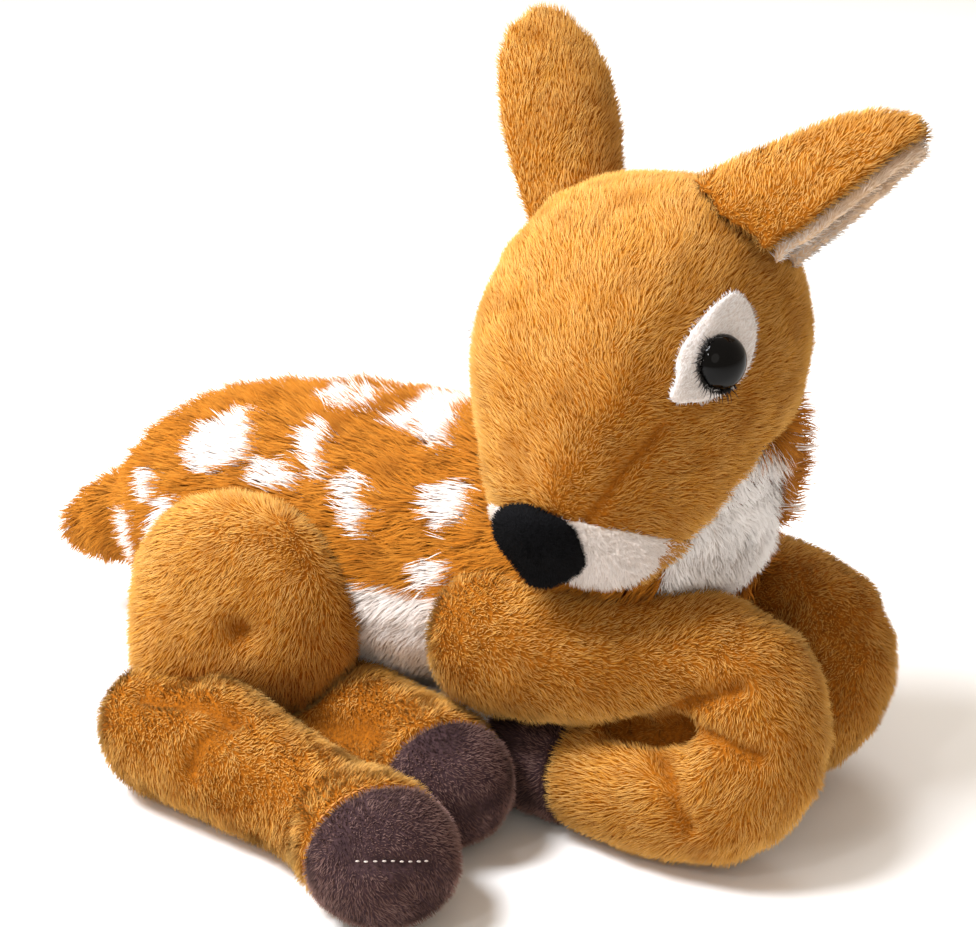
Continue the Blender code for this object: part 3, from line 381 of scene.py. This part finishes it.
def covered(name, reach):
    """Which corners of a form lie under its neighbours or on the floor, where no pile shows."""
    piece = sewn[name]
    found = corners(piece)[:, 2] < 0.9 * MM
    for step in (0.7 * MM, reach):
        probes = corners(piece) + ways_out(piece) * step
        for other, tree in trees.items():
            if other == name:
                continue
            box = corners(sewn[other])
            near = ((probes > box.min(axis=0)) & (probes < box.max(axis=0))).all(axis=1) & ~found
            for at in np.flatnonzero(near):
                spot, way, _, _ = tree.find_nearest(probes[at])
                if (Vector(probes[at]) - spot).dot(way) < 0:
                    found[at] = True
    return found


def towards(x, y, z):
    way = np.array([x, y, z], float)
    return lambda places: np.tile(way, (len(places), 1))


def away_from(x, y, z):
    start = np.array([x, y, z]) * MM
    return lambda places: places - start


def down_the_leg(route):
    """The direction of the nearest stretch of a leg's middle line."""
    route = np.array(route, float) * MM

    def way(places):
        best, found = np.full(len(places), 1e9), np.zeros((len(places), 3))
        for start, end in zip(route[:-1], route[1:]):
            far = np.linalg.norm(places - (start + end) / 2, axis=1)
            found[far < best] = end - start
            best = np.minimum(best, far)
        return found
    return way


# Middle lines of the front legs, from the shoulder round the bend to the hoof
right_route = [(36, -15, 64), (62, -14, 64), (92, -8, 65), (113, -2, 66), (135, -1, 65.6), (143, -3, 59),
               (148, -6, 50), (148, -10, 40), (143, -13, 31), (135, -15, 24.7), (116, -15.6, 22.5),
               (84, -13, 18), (60, -10, 18), (40, -9, 17)]
left_route = [(24, 83, 50), (58, 83, 49), (87, 82, 51), (109, 80.5, 52.7), (131, 78, 52), (139, 73, 47.5),
              (144, 66, 41), (144, 57.5, 34), (139, 50, 28), (131, 45, 24), (112, 43, 22.5), (80, 39, 18),
              (56, 34, 18), (40, 33, 16)]

# The torso's middle line, in metres
TORSO_Y, TORSO_Z = 0.033, 0.068
# White patches sewn into the coat: outlines by their place along the torso in mm and round it in degrees,
# from level on one flank (0) to the middle of the back (90), the same on both flanks, where the pile's tips lie
spots = [
    [(-88, 41), (-88, 49), (-86, 57), (-79, 64), (-75, 73), (-69, 68), (-67, 59), (-57, 46), (-60, 40), (-68, 36),
     (-74, 32), (-81, 33)],
    [(-51, 38), (-49, 43), (-41, 43), (-34, 40), (-31, 37), (-36, 34), (-43, 32), (-48, 33)],
    [(-41, 56), (-39, 61), (-36, 67), (-31, 62), (-30, 54), (-25, 47), (-23, 41), (-27, 43), (-33, 49)],
    [(-15, 42), (-9, 46), (-3, 37), (1, 23), (-7, 25), (-10, 32)],
    [(-14, 110), (-1, 109), (0, 104), (10, 84), (16, 69), (16, 63), (8, 62), (3, 71), (-5, 87)],
    [(20, 43), (26, 48), (34, 50), (38, 48), (37, 43), (35, 35), (31, 30), (24, 33), (21, 37)],
    [(23, 19), (29, 21), (38, 22), (38, 18), (35, 13), (26, 9), (22, 10), (24, 15)],
    [(-93, 17), (-85, 20), (-83, 12), (-83, 4), (-91, -4), (-94, -1), (-95, 4), (-91, 12)],
    [(-122, 4), (-112, 6), (-108, -6), (-106, -20), (-106, -26), (-112, -24), (-120, -20)],
    [(-110, 26), (-101, 29), (-97, 15), (-103, 12)],
    [(-49, 100), (-43, 100), (-36, 94), (-38, 88), (-44, 90)],
    [(-38, 104), (-32, 104), (-30, 99), (-24, 81), (-30, 86)],
]
# Rounder ones on the chest and the tail: middle, half height and half width in mm
chest_spots = [((143, 62, 124), 6.0, 7.0), ((140, 56, 102), 6.0, 8.0), ((112, 82, 96), 9.0, 7.0),
               ((131, 19, 108), 23.0, 23.0)]
tail_spots = [((-152, 22, 50), 8.0, 5.5), ((-152, 44, 50), 8.0, 5.5)]


def inside(across, up, outline):
    """Which points lie inside a closed outline."""
    found = np.zeros(len(across), bool)
    for (x0, y0), (x1, y1) in zip(outline, outline[1:] + outline[:1]):
        if y0 != y1:
            crossed = ((y0 > up) != (y1 > up)) & (across < (x1 - x0) * (up - y0) / (y1 - y0) + x0)
            found ^= crossed
    return found


def coat_white(places):
    """1 where the coat's pile is white and 0 elsewhere; each fibre wanders a little, so the edge is ragged."""
    shift = np.random.default_rng(5).normal(size=(len(places), 2)) * (0.6, 0.8)
    along = places[:, 0] / MM + 3 + shift[:, 0] + 1.6 * drift(places, 9 * MM, 42)
    flank = np.degrees(np.arctan2(places[:, 2] - TORSO_Z, np.abs(places[:, 1] - TORSO_Y)))
    round_it = flank + shift[:, 1] + 2.0 * drift(places, 9 * MM, 43)
    found = np.zeros(len(places), bool)
    for outline in spots:
        found |= inside(along, round_it, outline)
        found |= inside(along, 180 - round_it, outline)
    # The flank is white low down beside the belly, and the patches end at the shoulder
    found |= (round_it < 6) & (np.abs(along - 15) < 45)
    found &= places[:, 0] < 0.075
    return np.maximum(found, round_spots(places, chest_spots)).astype(float)


def round_spots(places, rows):
    found = np.zeros(len(places))
    for middle, high, wide in rows:
        off = places / MM - np.array(middle)
        far = np.sqrt((off[:, 2] / high) ** 2 + (off[:, 0] ** 2 + off[:, 1] ** 2) / wide ** 2)
        found = np.maximum(found, far + 0.2 * drift(places, 7 * MM, 41) < 1)
    return found


def grow_pile(name, seed, cloth, density, length, thick, lean, flow, steps=1, tuft=2.6, pull=0.3, wild=0.5,
              white=None, sides=3, reach=None, only=None, parting_shade_strength=0.35, label="pile"):
    """Grows one fibre at each of many places on a form. Sizes are in millimetres, density per square centimetre."""
    rng = np.random.default_rng(seed)
    base = sewn[name]
    mesh = base.data
    mesh.calc_loop_triangles()
    tri = np.empty(len(mesh.loop_triangles) * 3, np.int32)
    mesh.loop_triangles.foreach_get("vertices", tri)
    tri = tri.reshape(-1, 3)
    places, normals = corners(base), ways_out(base)
    folds = np.zeros(len(places), np.float32)
    if "fold" in mesh.attributes:
        mesh.attributes["fold"].data.foreach_get("value", folds)
    a, b, c = places[tri[:, 0]], places[tri[:, 1]], places[tri[:, 2]]
    area = np.linalg.norm(np.cross(b - a, c - a), axis=1) / 2
    area[covered(name, (reach or length * 0.4) * MM)[tri].mean(axis=1) > 0.5] = 0
    if only is not None:
        area[~only((a + b + c) / 3)] = 0
    whole = area.sum()
    count = int(whole * PER_CM2 * density)
    picked = (np.arange(count) + rng.random(count)) / count * whole
    face = tri[np.searchsorted(np.cumsum(area), picked).clip(max=len(tri) - 1)]
    u, v = rng.random(count), rng.random(count)
    over = u + v > 1
    u[over], v[over] = 1 - u[over], 1 - v[over]
    share = np.stack([1 - u - v, u, v], axis=1)[..., None]
    root = (places[face] * share).sum(axis=1)
    out = long_as_one((normals[face] * share).sum(axis=1))
    fold = (folds[face] * share[..., 0]).sum(axis=1)

    way = flow(root)
    way = way - out * (way * out).sum(axis=1, keepdims=True)
    way = long_as_one(way + 1e-6 * rng.normal(size=way.shape))
    turn = wild * drift(root, 22 * MM, seed + 1) + 0.5 * wild * drift(root, 7 * MM, seed + 2)
    turn += rng.normal(size=count) * 0.28
    across = np.cross(out, way)
    way = way * np.cos(turn)[:, None] + across * np.sin(turn)[:, None]
    long = length * MM * (1 + 0.16 * drift(root, 9 * MM, seed + 3) + 0.13 * rng.normal(size=count))
    long = np.maximum(long, 0.35 * length * MM) * (1 - 0.7 * fold)

    line = [root - out * 0.2 * MM]
    tilt = rng.normal(size=count) * 0.14 + 0.12 * drift(root, 11 * MM, seed + 4)
    for step in range(steps):
        angle = math.radians(lean[0]) + (math.radians(lean[1] - lean[0])) * (step + 0.5) / steps + tilt
        line.append(line[-1] + (out * np.cos(angle)[:, None] + way * np.sin(angle)[:, None])
                    * (long / steps)[:, None])
    line = np.stack(line, axis=1)

    middles = rng.choice(count, max(1, min(count, int(whole / (tuft * MM) ** 2))), replace=False)
    finder = KDTree(len(middles))
    for at in middles:
        finder.insert(root[at], int(at))
    finder.balance()
    nearest = np.array([finder.find(spot)[1] for spot in root])
    gather = pull * (np.arange(steps + 1) / steps) ** 1.4
    line += (line[nearest] - line) * gather[None, :, None]
    line[..., 2] = np.maximum(line[..., 2], 0.25 * MM)

    thin = rng.uniform(0.75, 1.25, count) * thick * MM / 2
    rings, normals_out = [], []
    spin = rng.uniform(-0.5, 0.5, count)
    for step in range(steps):
        way_on = long_as_one(line[:, step + 1] - line[:, step])
        side = long_as_one(np.cross(way_on, out) + 1e-6)
        lift = np.cross(side, way_on)
        wide = thin * (1 - 0.75 * (step / steps) ** 1.5)
        if sides == 2:
            edge = side * np.cos(spin)[:, None] + lift * np.sin(spin)[:, None]
            ring = [edge, -edge]
        else:
            ring = [side * math.cos(t) + lift * math.sin(t) for t in (math.pi / 2, math.pi * 7 / 6, math.pi * 11 / 6)]
        rings.append(np.stack([line[:, step] + e * wide[:, None] for e in ring], axis=1))
        normals_out.append(np.stack([out * 0.75 + (lift if sides == 2 else e) * 0.45 for e in ring], axis=1))
    rings.append(line[:, -1:, :])
    normals_out.append(out[:, None, :])
    spots_3d = np.concatenate(rings, axis=1)
    soft = long_as_one(np.concatenate(normals_out, axis=1))
    per = spots_3d.shape[1]
    tris = []
    for step in range(steps - 1):
        low, high = step * sides, (step + 1) * sides
        for k in range(sides if sides > 2 else 1):
            n = (k + 1) % sides
            tris += [(low + k, high + k, high + n), (low + k, high + n, low + n)]
    last = (steps - 1) * sides
    for k in range(sides if sides > 2 else 1):
        tris.append((last + k, per - 1, last + (k + 1) % sides))
    tris = np.array(tris, np.int32)
    all_tris = (np.arange(count, dtype=np.int32)[:, None, None] * per + tris[None]).reshape(-1, 3)

    # Fibres are numbered along the form, so that neighbours lie side by side in the map
    order = np.lexsort((root[:, 1], np.floor(root[:, 0] / (3 * MM))))
    cell = np.empty(count, np.int64)
    cell[order] = np.arange(count)
    grid = math.ceil(math.sqrt(count))
    corner = np.stack([cell % grid, cell // grid], axis=1) / grid
    rows = np.minimum(np.arange(per) // sides, steps) / steps
    spread = np.where(np.arange(per) == per - 1, 0.5, (np.arange(per) % sides) / (sides - 1))
    in_cell = np.stack([0.1 + 0.8 * spread, 0.1 + 0.8 * rows], axis=1) / grid
    uv = (corner[:, None, :] + in_cell[None]).reshape(-1, 2)[all_tris.ravel()]

    made = bpy.data.meshes.new(f"{name}_{label}")
    made.vertices.add(count * per)
    made.vertices.foreach_set("co", spots_3d.ravel())
    made.loops.add(all_tris.size)
    made.loops.foreach_set("vertex_index", all_tris.ravel())
    made.polygons.add(len(all_tris))
    made.polygons.foreach_set("loop_start", np.arange(len(all_tris), dtype=np.int32) * 3)
    made.polygons.foreach_set("use_smooth", np.ones(len(all_tris), bool))
    made.update(calc_edges=True)
    made.uv_layers.new(name="OFBake").data.foreach_set("uv", uv.ravel().astype(np.float32))
    marks = np.zeros(count) if white is None else white(line[:, -1])
    # Painted shade: patches where the pile parts, and the folds drawn in, are darkened through the along attribute
    parting_shade_field = np.clip(drift(root, 17 * MM, seed + 7) - 0.1, 0, 1)
    shade = (1 - 0.75 * fold) * (1 - parting_shade_strength * parting_shade_field)
    values = {"along": np.tile(0.15 + 0.85 * rows, count) * np.repeat(shade, per),
              "tone": np.repeat(rng.random(count), per), "mark": np.repeat(marks, per)}
    for key, value in values.items():
        made.attributes.new(key, "FLOAT", "POINT").data.foreach_set("value", value.astype(np.float32))
    made.normals_split_custom_set_from_vertices(soft.reshape(-1, 3))
    grown = bpy.data.objects.new(f"{name}_{label}", made)
    bpy.context.scene.collection.objects.link(grown)
    dress(grown, cloth)
    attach(grown, forms[name][0])
    return grown


def beside_head(places):
    """The left of the chest, next to the head, where the coat is longer."""
    return (places[:, 0] > 0.084) & (places[:, 1] > 0.045) & (places[:, 2] > 0.056)


def over_bib(places):
    """The chest above the bib, which is covered in the bib's own short white plush."""
    off = (places - np.array((0.122, 0.019, 0.108))) / 0.026
    return (off ** 2).sum(axis=1) < 1


def flank(side):
    """One half of the coat, the left one for 1 and the right one for -1."""
    return lambda places: ((places[:, 1] - TORSO_Y) * side > 0) & ~over_bib(places)


back_flow = towards(-1, 0, -0.45)
for label, side, seed in (("pile_left", 1, 11), ("pile_right", -1, 12)):
    grow_pile("torso", seed, "long_pile", 162, 11.5, 0.50, (28, 68), back_flow, steps=3, tuft=3.2, pull=0.22,
              wild=0.35, white=coat_white, sides=2, reach=2.5, only=flank(side), label=label)
grow_pile("torso", 19, "long_pile", 130, 17.0, 0.50, (22, 60), towards(0.5, 0.8, -0.25), steps=3, tuft=4, pull=0.3,
          wild=0.4, white=coat_white, sides=2, reach=4, only=beside_head, label="mane")
grow_pile("torso", 21, "white_plush", 170, 5.5, 0.45, (28, 64), towards(0.1, 0, -1), steps=2, tuft=3, sides=2,
          reach=2, only=over_bib, label="chest")
grow_pile("tail", 13, "long_pile", 150, 10.5, 0.48, (32, 74), towards(-1, 0, -1.1), steps=3, tuft=3.5, pull=0.32,
          white=lambda places: round_spots(places, tail_spots), sides=2, reach=2)
grow_pile("belly", 14, "white_plush", 95, 5.0, 0.50, (25, 60), towards(-0.6, 0, -0.6), steps=2, tuft=3, sides=2,
          reach=1.5)
grow_pile("bib", 15, "white_plush", 160, 5.0, 0.45, (25, 60), towards(0.1, 0, -1), steps=2, tuft=3, sides=2,
          reach=1.5)
# The head's pile lies away from the nose, and is grown in two objects so that neither is too large
NOSE_TIP = (83, -48, 118)
HEAD_HALFWAY = 0.083
head_halves = {"pile_front": lambda places: places[:, 0] > HEAD_HALFWAY,
               "pile_back": lambda places: places[:, 0] <= HEAD_HALFWAY}
for label, half in head_halves.items():
    grow_pile("head", 16, "plush", 188, 3.6, 0.35, (46, 46), away_from(*NOSE_TIP), tuft=2.2, pull=0.18, wild=0.5,
              reach=1.2, only=half, label=label)
grow_pile("muzzle_band", 17, "plush", 190, 2.6, 0.36, (25, 25), away_from(*NOSE_TIP), reach=0.9,
          white=lambda places: places[:, 1] + 0.0015 * drift(places, 6 * MM, 44) < -0.017)
grow_pile("nose", 18, "nose_plush", 220, 1.7, 0.34, (20, 20), towards(0.5, 0, 0.7), pull=0.15, reach=0.6)
ear_roots = {"left": (130.7, 28.2, 198.1), "right": (47.3, 44.5, 197.0)}


def near_root(side):
    """White for the first stretch of an ear's lining, and beige beyond it."""
    root = np.array(ear_roots[side]) * MM
    return lambda places: np.clip(1.8 - np.linalg.norm(places - root, axis=1) / (20 * MM), 0, 1)


for side, way in (("left", (0.4, -0.3, 0.8)), ("right", (-0.3, -0.2, 0.8))):
    grow_pile(f"eye_patch_{side}", 20, "white_plush", 240, 1.8, 0.32, (28, 28), towards(*way), pull=0.15, reach=0.6)
for side, out, seed in (("left", 1, 30), ("right", -1, 40)):
    ear_tip = towards(*((0.75, 0.15, 0.55) if side == "left" else (0.0, 0.1, 1)))
    route = left_route if side == "left" else right_route
    grow_pile(f"ear_back_{side}", seed, "plush", 150, 3.2, 0.38, (42, 42), ear_tip, pull=0.2, reach=1.0)
    grow_pile(f"ear_lining_{side}", seed + 1, "lining_plush", 150, 3.2, 0.38, (50, 50), ear_tip, pull=0.2,
              white=near_root(side), reach=1.0)
    grow_pile(f"thigh_{side}", seed + 2, "plush", 150, 3.8, 0.40, (44, 44), towards(-0.4, 0, -0.9), pull=0.2,
              reach=1.4)
    grow_pile(f"hind_leg_{side}", seed + 3, "plush", 145, 3.6, 0.40, (44, 44),
              towards(1, -0.35, -0.1) if side == "right" else towards(0.9, -0.5, -0.1), pull=0.2, reach=1.4)
    grow_pile(f"front_leg_{side}", seed + 4, "plush", 138, 3.6, 0.40, (44, 44), down_the_leg(route),
              pull=0.2, reach=1.4)
    # The hooves get stronger painted shade in the patches where their pile parts
    grow_pile(f"front_hoof_{side}", seed + 5, "hoof_plush", 150, 2.2, 0.38, (30, 30), towards(-1, 0, -0.2),
              pull=0.2, reach=1.0, parting_shade_strength=0.8)
    grow_pile(f"hind_hoof_{side}", seed + 6, "hoof_plush", 150, 2.2, 0.38, (30, 30), towards(0.9, -0.5, -0.2),
              pull=0.2, reach=1.0, parting_shade_strength=0.8)

for name, piece in sewn.items():
    dress(piece, backings.get(name, "plush_backing"))
    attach(piece, forms[name][0])
    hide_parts(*forms[name][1])


# Eyes

eye_seats = {"left": ((128.61, -7.53, 174.1), (0.8463, -0.5105, 0.1522)),
             "right": ((34.51, 15.74, 162.11), (-0.9976, -0.0167, 0.0671))}
# In millimetres, but for the flat back, which is cut at a share of the radius
EYE_RADIUS, EYE_DOME, EYE_PROUD, EYE_BACK = 9.0, 6.6, 0.6, -0.12
for side, (seat, look) in eye_seats.items():
    look = Vector(look).normalized()
    seat = Vector(seat) * MM
    bpy.ops.mesh.primitive_uv_sphere_add(segments=64, ring_count=40, radius=1, location=(0, 0, 0))
    eye = bpy.context.active_object
    eye.name = eye.data.name = f"eye_{side}_dome"
    bpy.ops.object.mode_set(mode="EDIT")
    bpy.ops.mesh.select_all(action="SELECT")
    bpy.ops.mesh.bisect(plane_co=(0, 0, EYE_BACK), plane_no=(0, 0, 1), clear_inner=True, use_fill=True)
    bpy.ops.object.mode_set(mode="OBJECT")
    eye.scale = (EYE_RADIUS * MM, EYE_RADIUS * MM, EYE_DOME * MM)
    eye.rotation_euler = look.to_track_quat("Z", "Y").to_euler()
    eye.location = seat + look * EYE_PROUD * MM
    alone(eye)
    bpy.ops.object.transform_apply(location=True, rotation=True, scale=True)
    bpy.ops.object.shade_smooth_by_angle(angle=math.radians(40))
    dress(eye, "eye")
    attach(eye, "head")
    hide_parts(f"eye_{side}")

for side in ("left", "right"):
    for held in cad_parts[f"eye_washer_{side}"].material_slots:
        held.material = materials["washer"]


def hairs(name, roots, ways, long, thick, cloth, body):
    """One object of thin tapered hairs, each bent in the middle. Sizes are in millimetres."""
    spots_3d, faces = [], []
    for root, (first, then) in zip(roots, ways):
        middle = root + first * long * 0.5 * MM
        tip = middle + then * long * 0.5 * MM
        side = first.cross(then)
        side = (side if side.length > 0.01 else first.orthogonal()).normalized()
        low = first.cross(side).normalized()
        for place, wide in ((root, 1.0), (middle, 0.8)):
            for turn in (90, 210, 330):
                edge = side * math.cos(math.radians(turn)) + low * math.sin(math.radians(turn))
                spots_3d.append(place + edge * thick * wide * MM / 2)
        spots_3d.append(tip)
        at = len(spots_3d) - 7
        for k in range(3):
            n = (k + 1) % 3
            faces += [(at + k, at + n, at + 3 + n, at + 3 + k), (at + 3 + k, at + 3 + n, at + 6)]
        faces.append((at + 2, at + 1, at))
    mesh = bpy.data.meshes.new(name)
    mesh.from_pydata([tuple(spot) for spot in spots_3d], [], faces)
    mesh.shade_smooth()
    made = bpy.data.objects.new(name, mesh)
    bpy.context.scene.collection.objects.link(made)
    dress(made, cloth)
    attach(made, body)
    return made


# Lashes fan out from the front and lower rim of each eye, from a strip of short dark fibres
LASHES, STRIP_FIBRES = 28, 150
for side, (seat, look) in eye_seats.items():
    look = Vector(look).normalized()
    up = (Vector((0, 0, 1)) - look * look.z).normalized()
    ahead = up.cross(look) if side == "right" else look.cross(up)
    rng = np.random.default_rng(60)
    roots, ways = [], []
    for place in range(LASHES):
        turn = math.radians(125 + 160 * place / (LASHES - 1))
        rim = ahead * -math.cos(turn) + up * math.sin(turn)
        roots.append(Vector(seat) * MM + rim * 8.9 * MM + look * 2.0 * MM)
        lean = Vector(rng.normal(size=3)) * 0.10
        ways.append(((rim * 0.75 + look * 0.65 + lean).normalized(),
                     (rim + look * 0.15 - up * 0.2 + lean).normalized()))
    lash = hairs(f"lash_{side}_hairs", roots, ways, 5.0, 0.42, "lash", "head")
    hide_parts(f"lash_{side}")
    roots, ways = [], []
    for place in range(STRIP_FIBRES):
        turn = math.radians(115 + 180 * (place + rng.random()) / STRIP_FIBRES)
        rim = ahead * -math.cos(turn) + up * math.sin(turn)
        roots.append(Vector(seat) * MM + rim * 8.4 * MM + look * (1.2 + 1.6 * rng.random()) * MM)
        ways.append(((rim + look * 0.4).normalized(), (rim + look * 0.1).normalized()))
    hairs(f"lash_{side}_strip", roots, ways, 1.9, 0.55, "lash", "head")


def stitches(name, on, line, count, long, thick, cloth, lift):
    """A row of sewn stitches along a line on one form, each a short thick loop. Sizes are in millimetres."""
    skin = trees[on]
    line = [Vector(spot) * MM for spot in line]
    lengths = [(end - start).length for start, end in zip(line[:-1], line[1:])]
    copies = []
    for at in range(count):
        far = sum(lengths) * (at + 0.5) / count
        leg = 0
        while far > lengths[leg] and leg < len(lengths) - 1:
            far -= lengths[leg]
            leg += 1
        way = (line[leg + 1] - line[leg]).normalized()
        place, out, _, _ = skin.find_nearest(line[leg] + way * far)
        bpy.ops.mesh.primitive_uv_sphere_add(segments=10, ring_count=8, radius=MM / 2, location=(0, 0, 0))
        loop = bpy.context.active_object
        loop.scale = (long, thick, thick)
        loop.rotation_euler = way.to_track_quat("X", "Z").to_euler()
        loop.location = place + out * lift * MM
        copies.append(loop)
    alone(*copies)
    bpy.ops.object.transform_apply(location=True, rotation=True, scale=True)
    bpy.ops.object.join()
    row = bpy.context.active_object
    row.name = row.data.name = name
    bpy.ops.object.shade_smooth()
    dress(row, cloth)
    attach(row, forms[on][0])


stitches("hoof_stitches", "hind_hoof_right", [(61.9, -119.8, 33.1), (72.2, -114.7, 33.6), (80.4, -104.5, 30.7)],
         9, 1.4, 0.6, "white_thread", 1.5)
stitches("hoof_seam_stitches", "hind_hoof_right", [(42.7, -110.3, 37.7), (46.8, -103.4, 42.9), (51.6, -96.6, 44.8)],
         7, 2.2, 0.8, "golden_thread", 1.9)


# Floor, light and camera

bpy.ops.object.select_all(action="DESELECT")
bpy.ops.mesh.primitive_plane_add(size=8, location=(0, 0, 0))
floor = bpy.context.active_object
floor.name = "studio_floor"
paper, _, paper_shader = new_material("white_paper", Roughness=0.9, Specular_IOR_Level=0.1)
paper_shader.inputs["Base Color"].default_value = linear("#F6F5F3")
floor.data.materials.append(paper)

sky = bpy.data.worlds.new("studio")
sky.use_nodes = True
sky.node_tree.nodes["Background"].inputs["Color"].default_value = linear("#FFF1E0")
sky.node_tree.nodes["Background"].inputs["Strength"].default_value = 0.60
bpy.context.scene.world = sky
bpy.context.scene.view_settings.view_transform = "Standard"


def soft_light(name, place, aim, size, power, colour):
    light = bpy.data.lights.new(name, "AREA")
    light.shape, light.size, light.energy, light.color = "DISK", size, power, linear(colour)[:3]
    lamp = bpy.data.objects.new(name, light)
    bpy.context.scene.collection.objects.link(lamp)
    lamp.location = place
    lamp.rotation_euler = (Vector(aim) - Vector(place)).to_track_quat("-Z", "Y").to_euler()


# A large high key over the rump, a small window for the eyes' highlights, and a weak fill and back light
soft_light("key", (-0.58, -0.58, 1.42), (0.03, 0, 0.1), 0.7, 48, "#F6F9FF")
soft_light("window", (-0.1, -1.3, 1.2), (0.12, -0.01, 0.17), 0.12, 2.5, "#FFFFFF")
soft_light("fill", (0.8, -1.1, 0.8), (0.03, 0, 0.1), 0.8, 1.5, "#FFFAF3")
soft_light("back", (-0.3, 1.0, 1.3), (0.03, 0, 0.1), 0.8, 9, "#FFFFFF")

turn, rise, away = math.radians(30), math.radians(22), 0.8
aim = Vector((0.0415, -0.001, 0.120))
camera = bpy.data.objects.new("camera", bpy.data.cameras.new("camera"))
bpy.context.scene.collection.objects.link(camera)
back = Vector((math.sin(turn) * math.cos(rise), -math.cos(turn) * math.cos(rise), math.sin(rise)))
camera.location = aim + back * away
camera.rotation_euler = back.to_track_quat("Z", "Y").to_euler()
camera.data.lens = 86.8
camera.data.sensor_width = 36
camera.data.clip_start = 0.05
bpy.context.scene.camera = camera
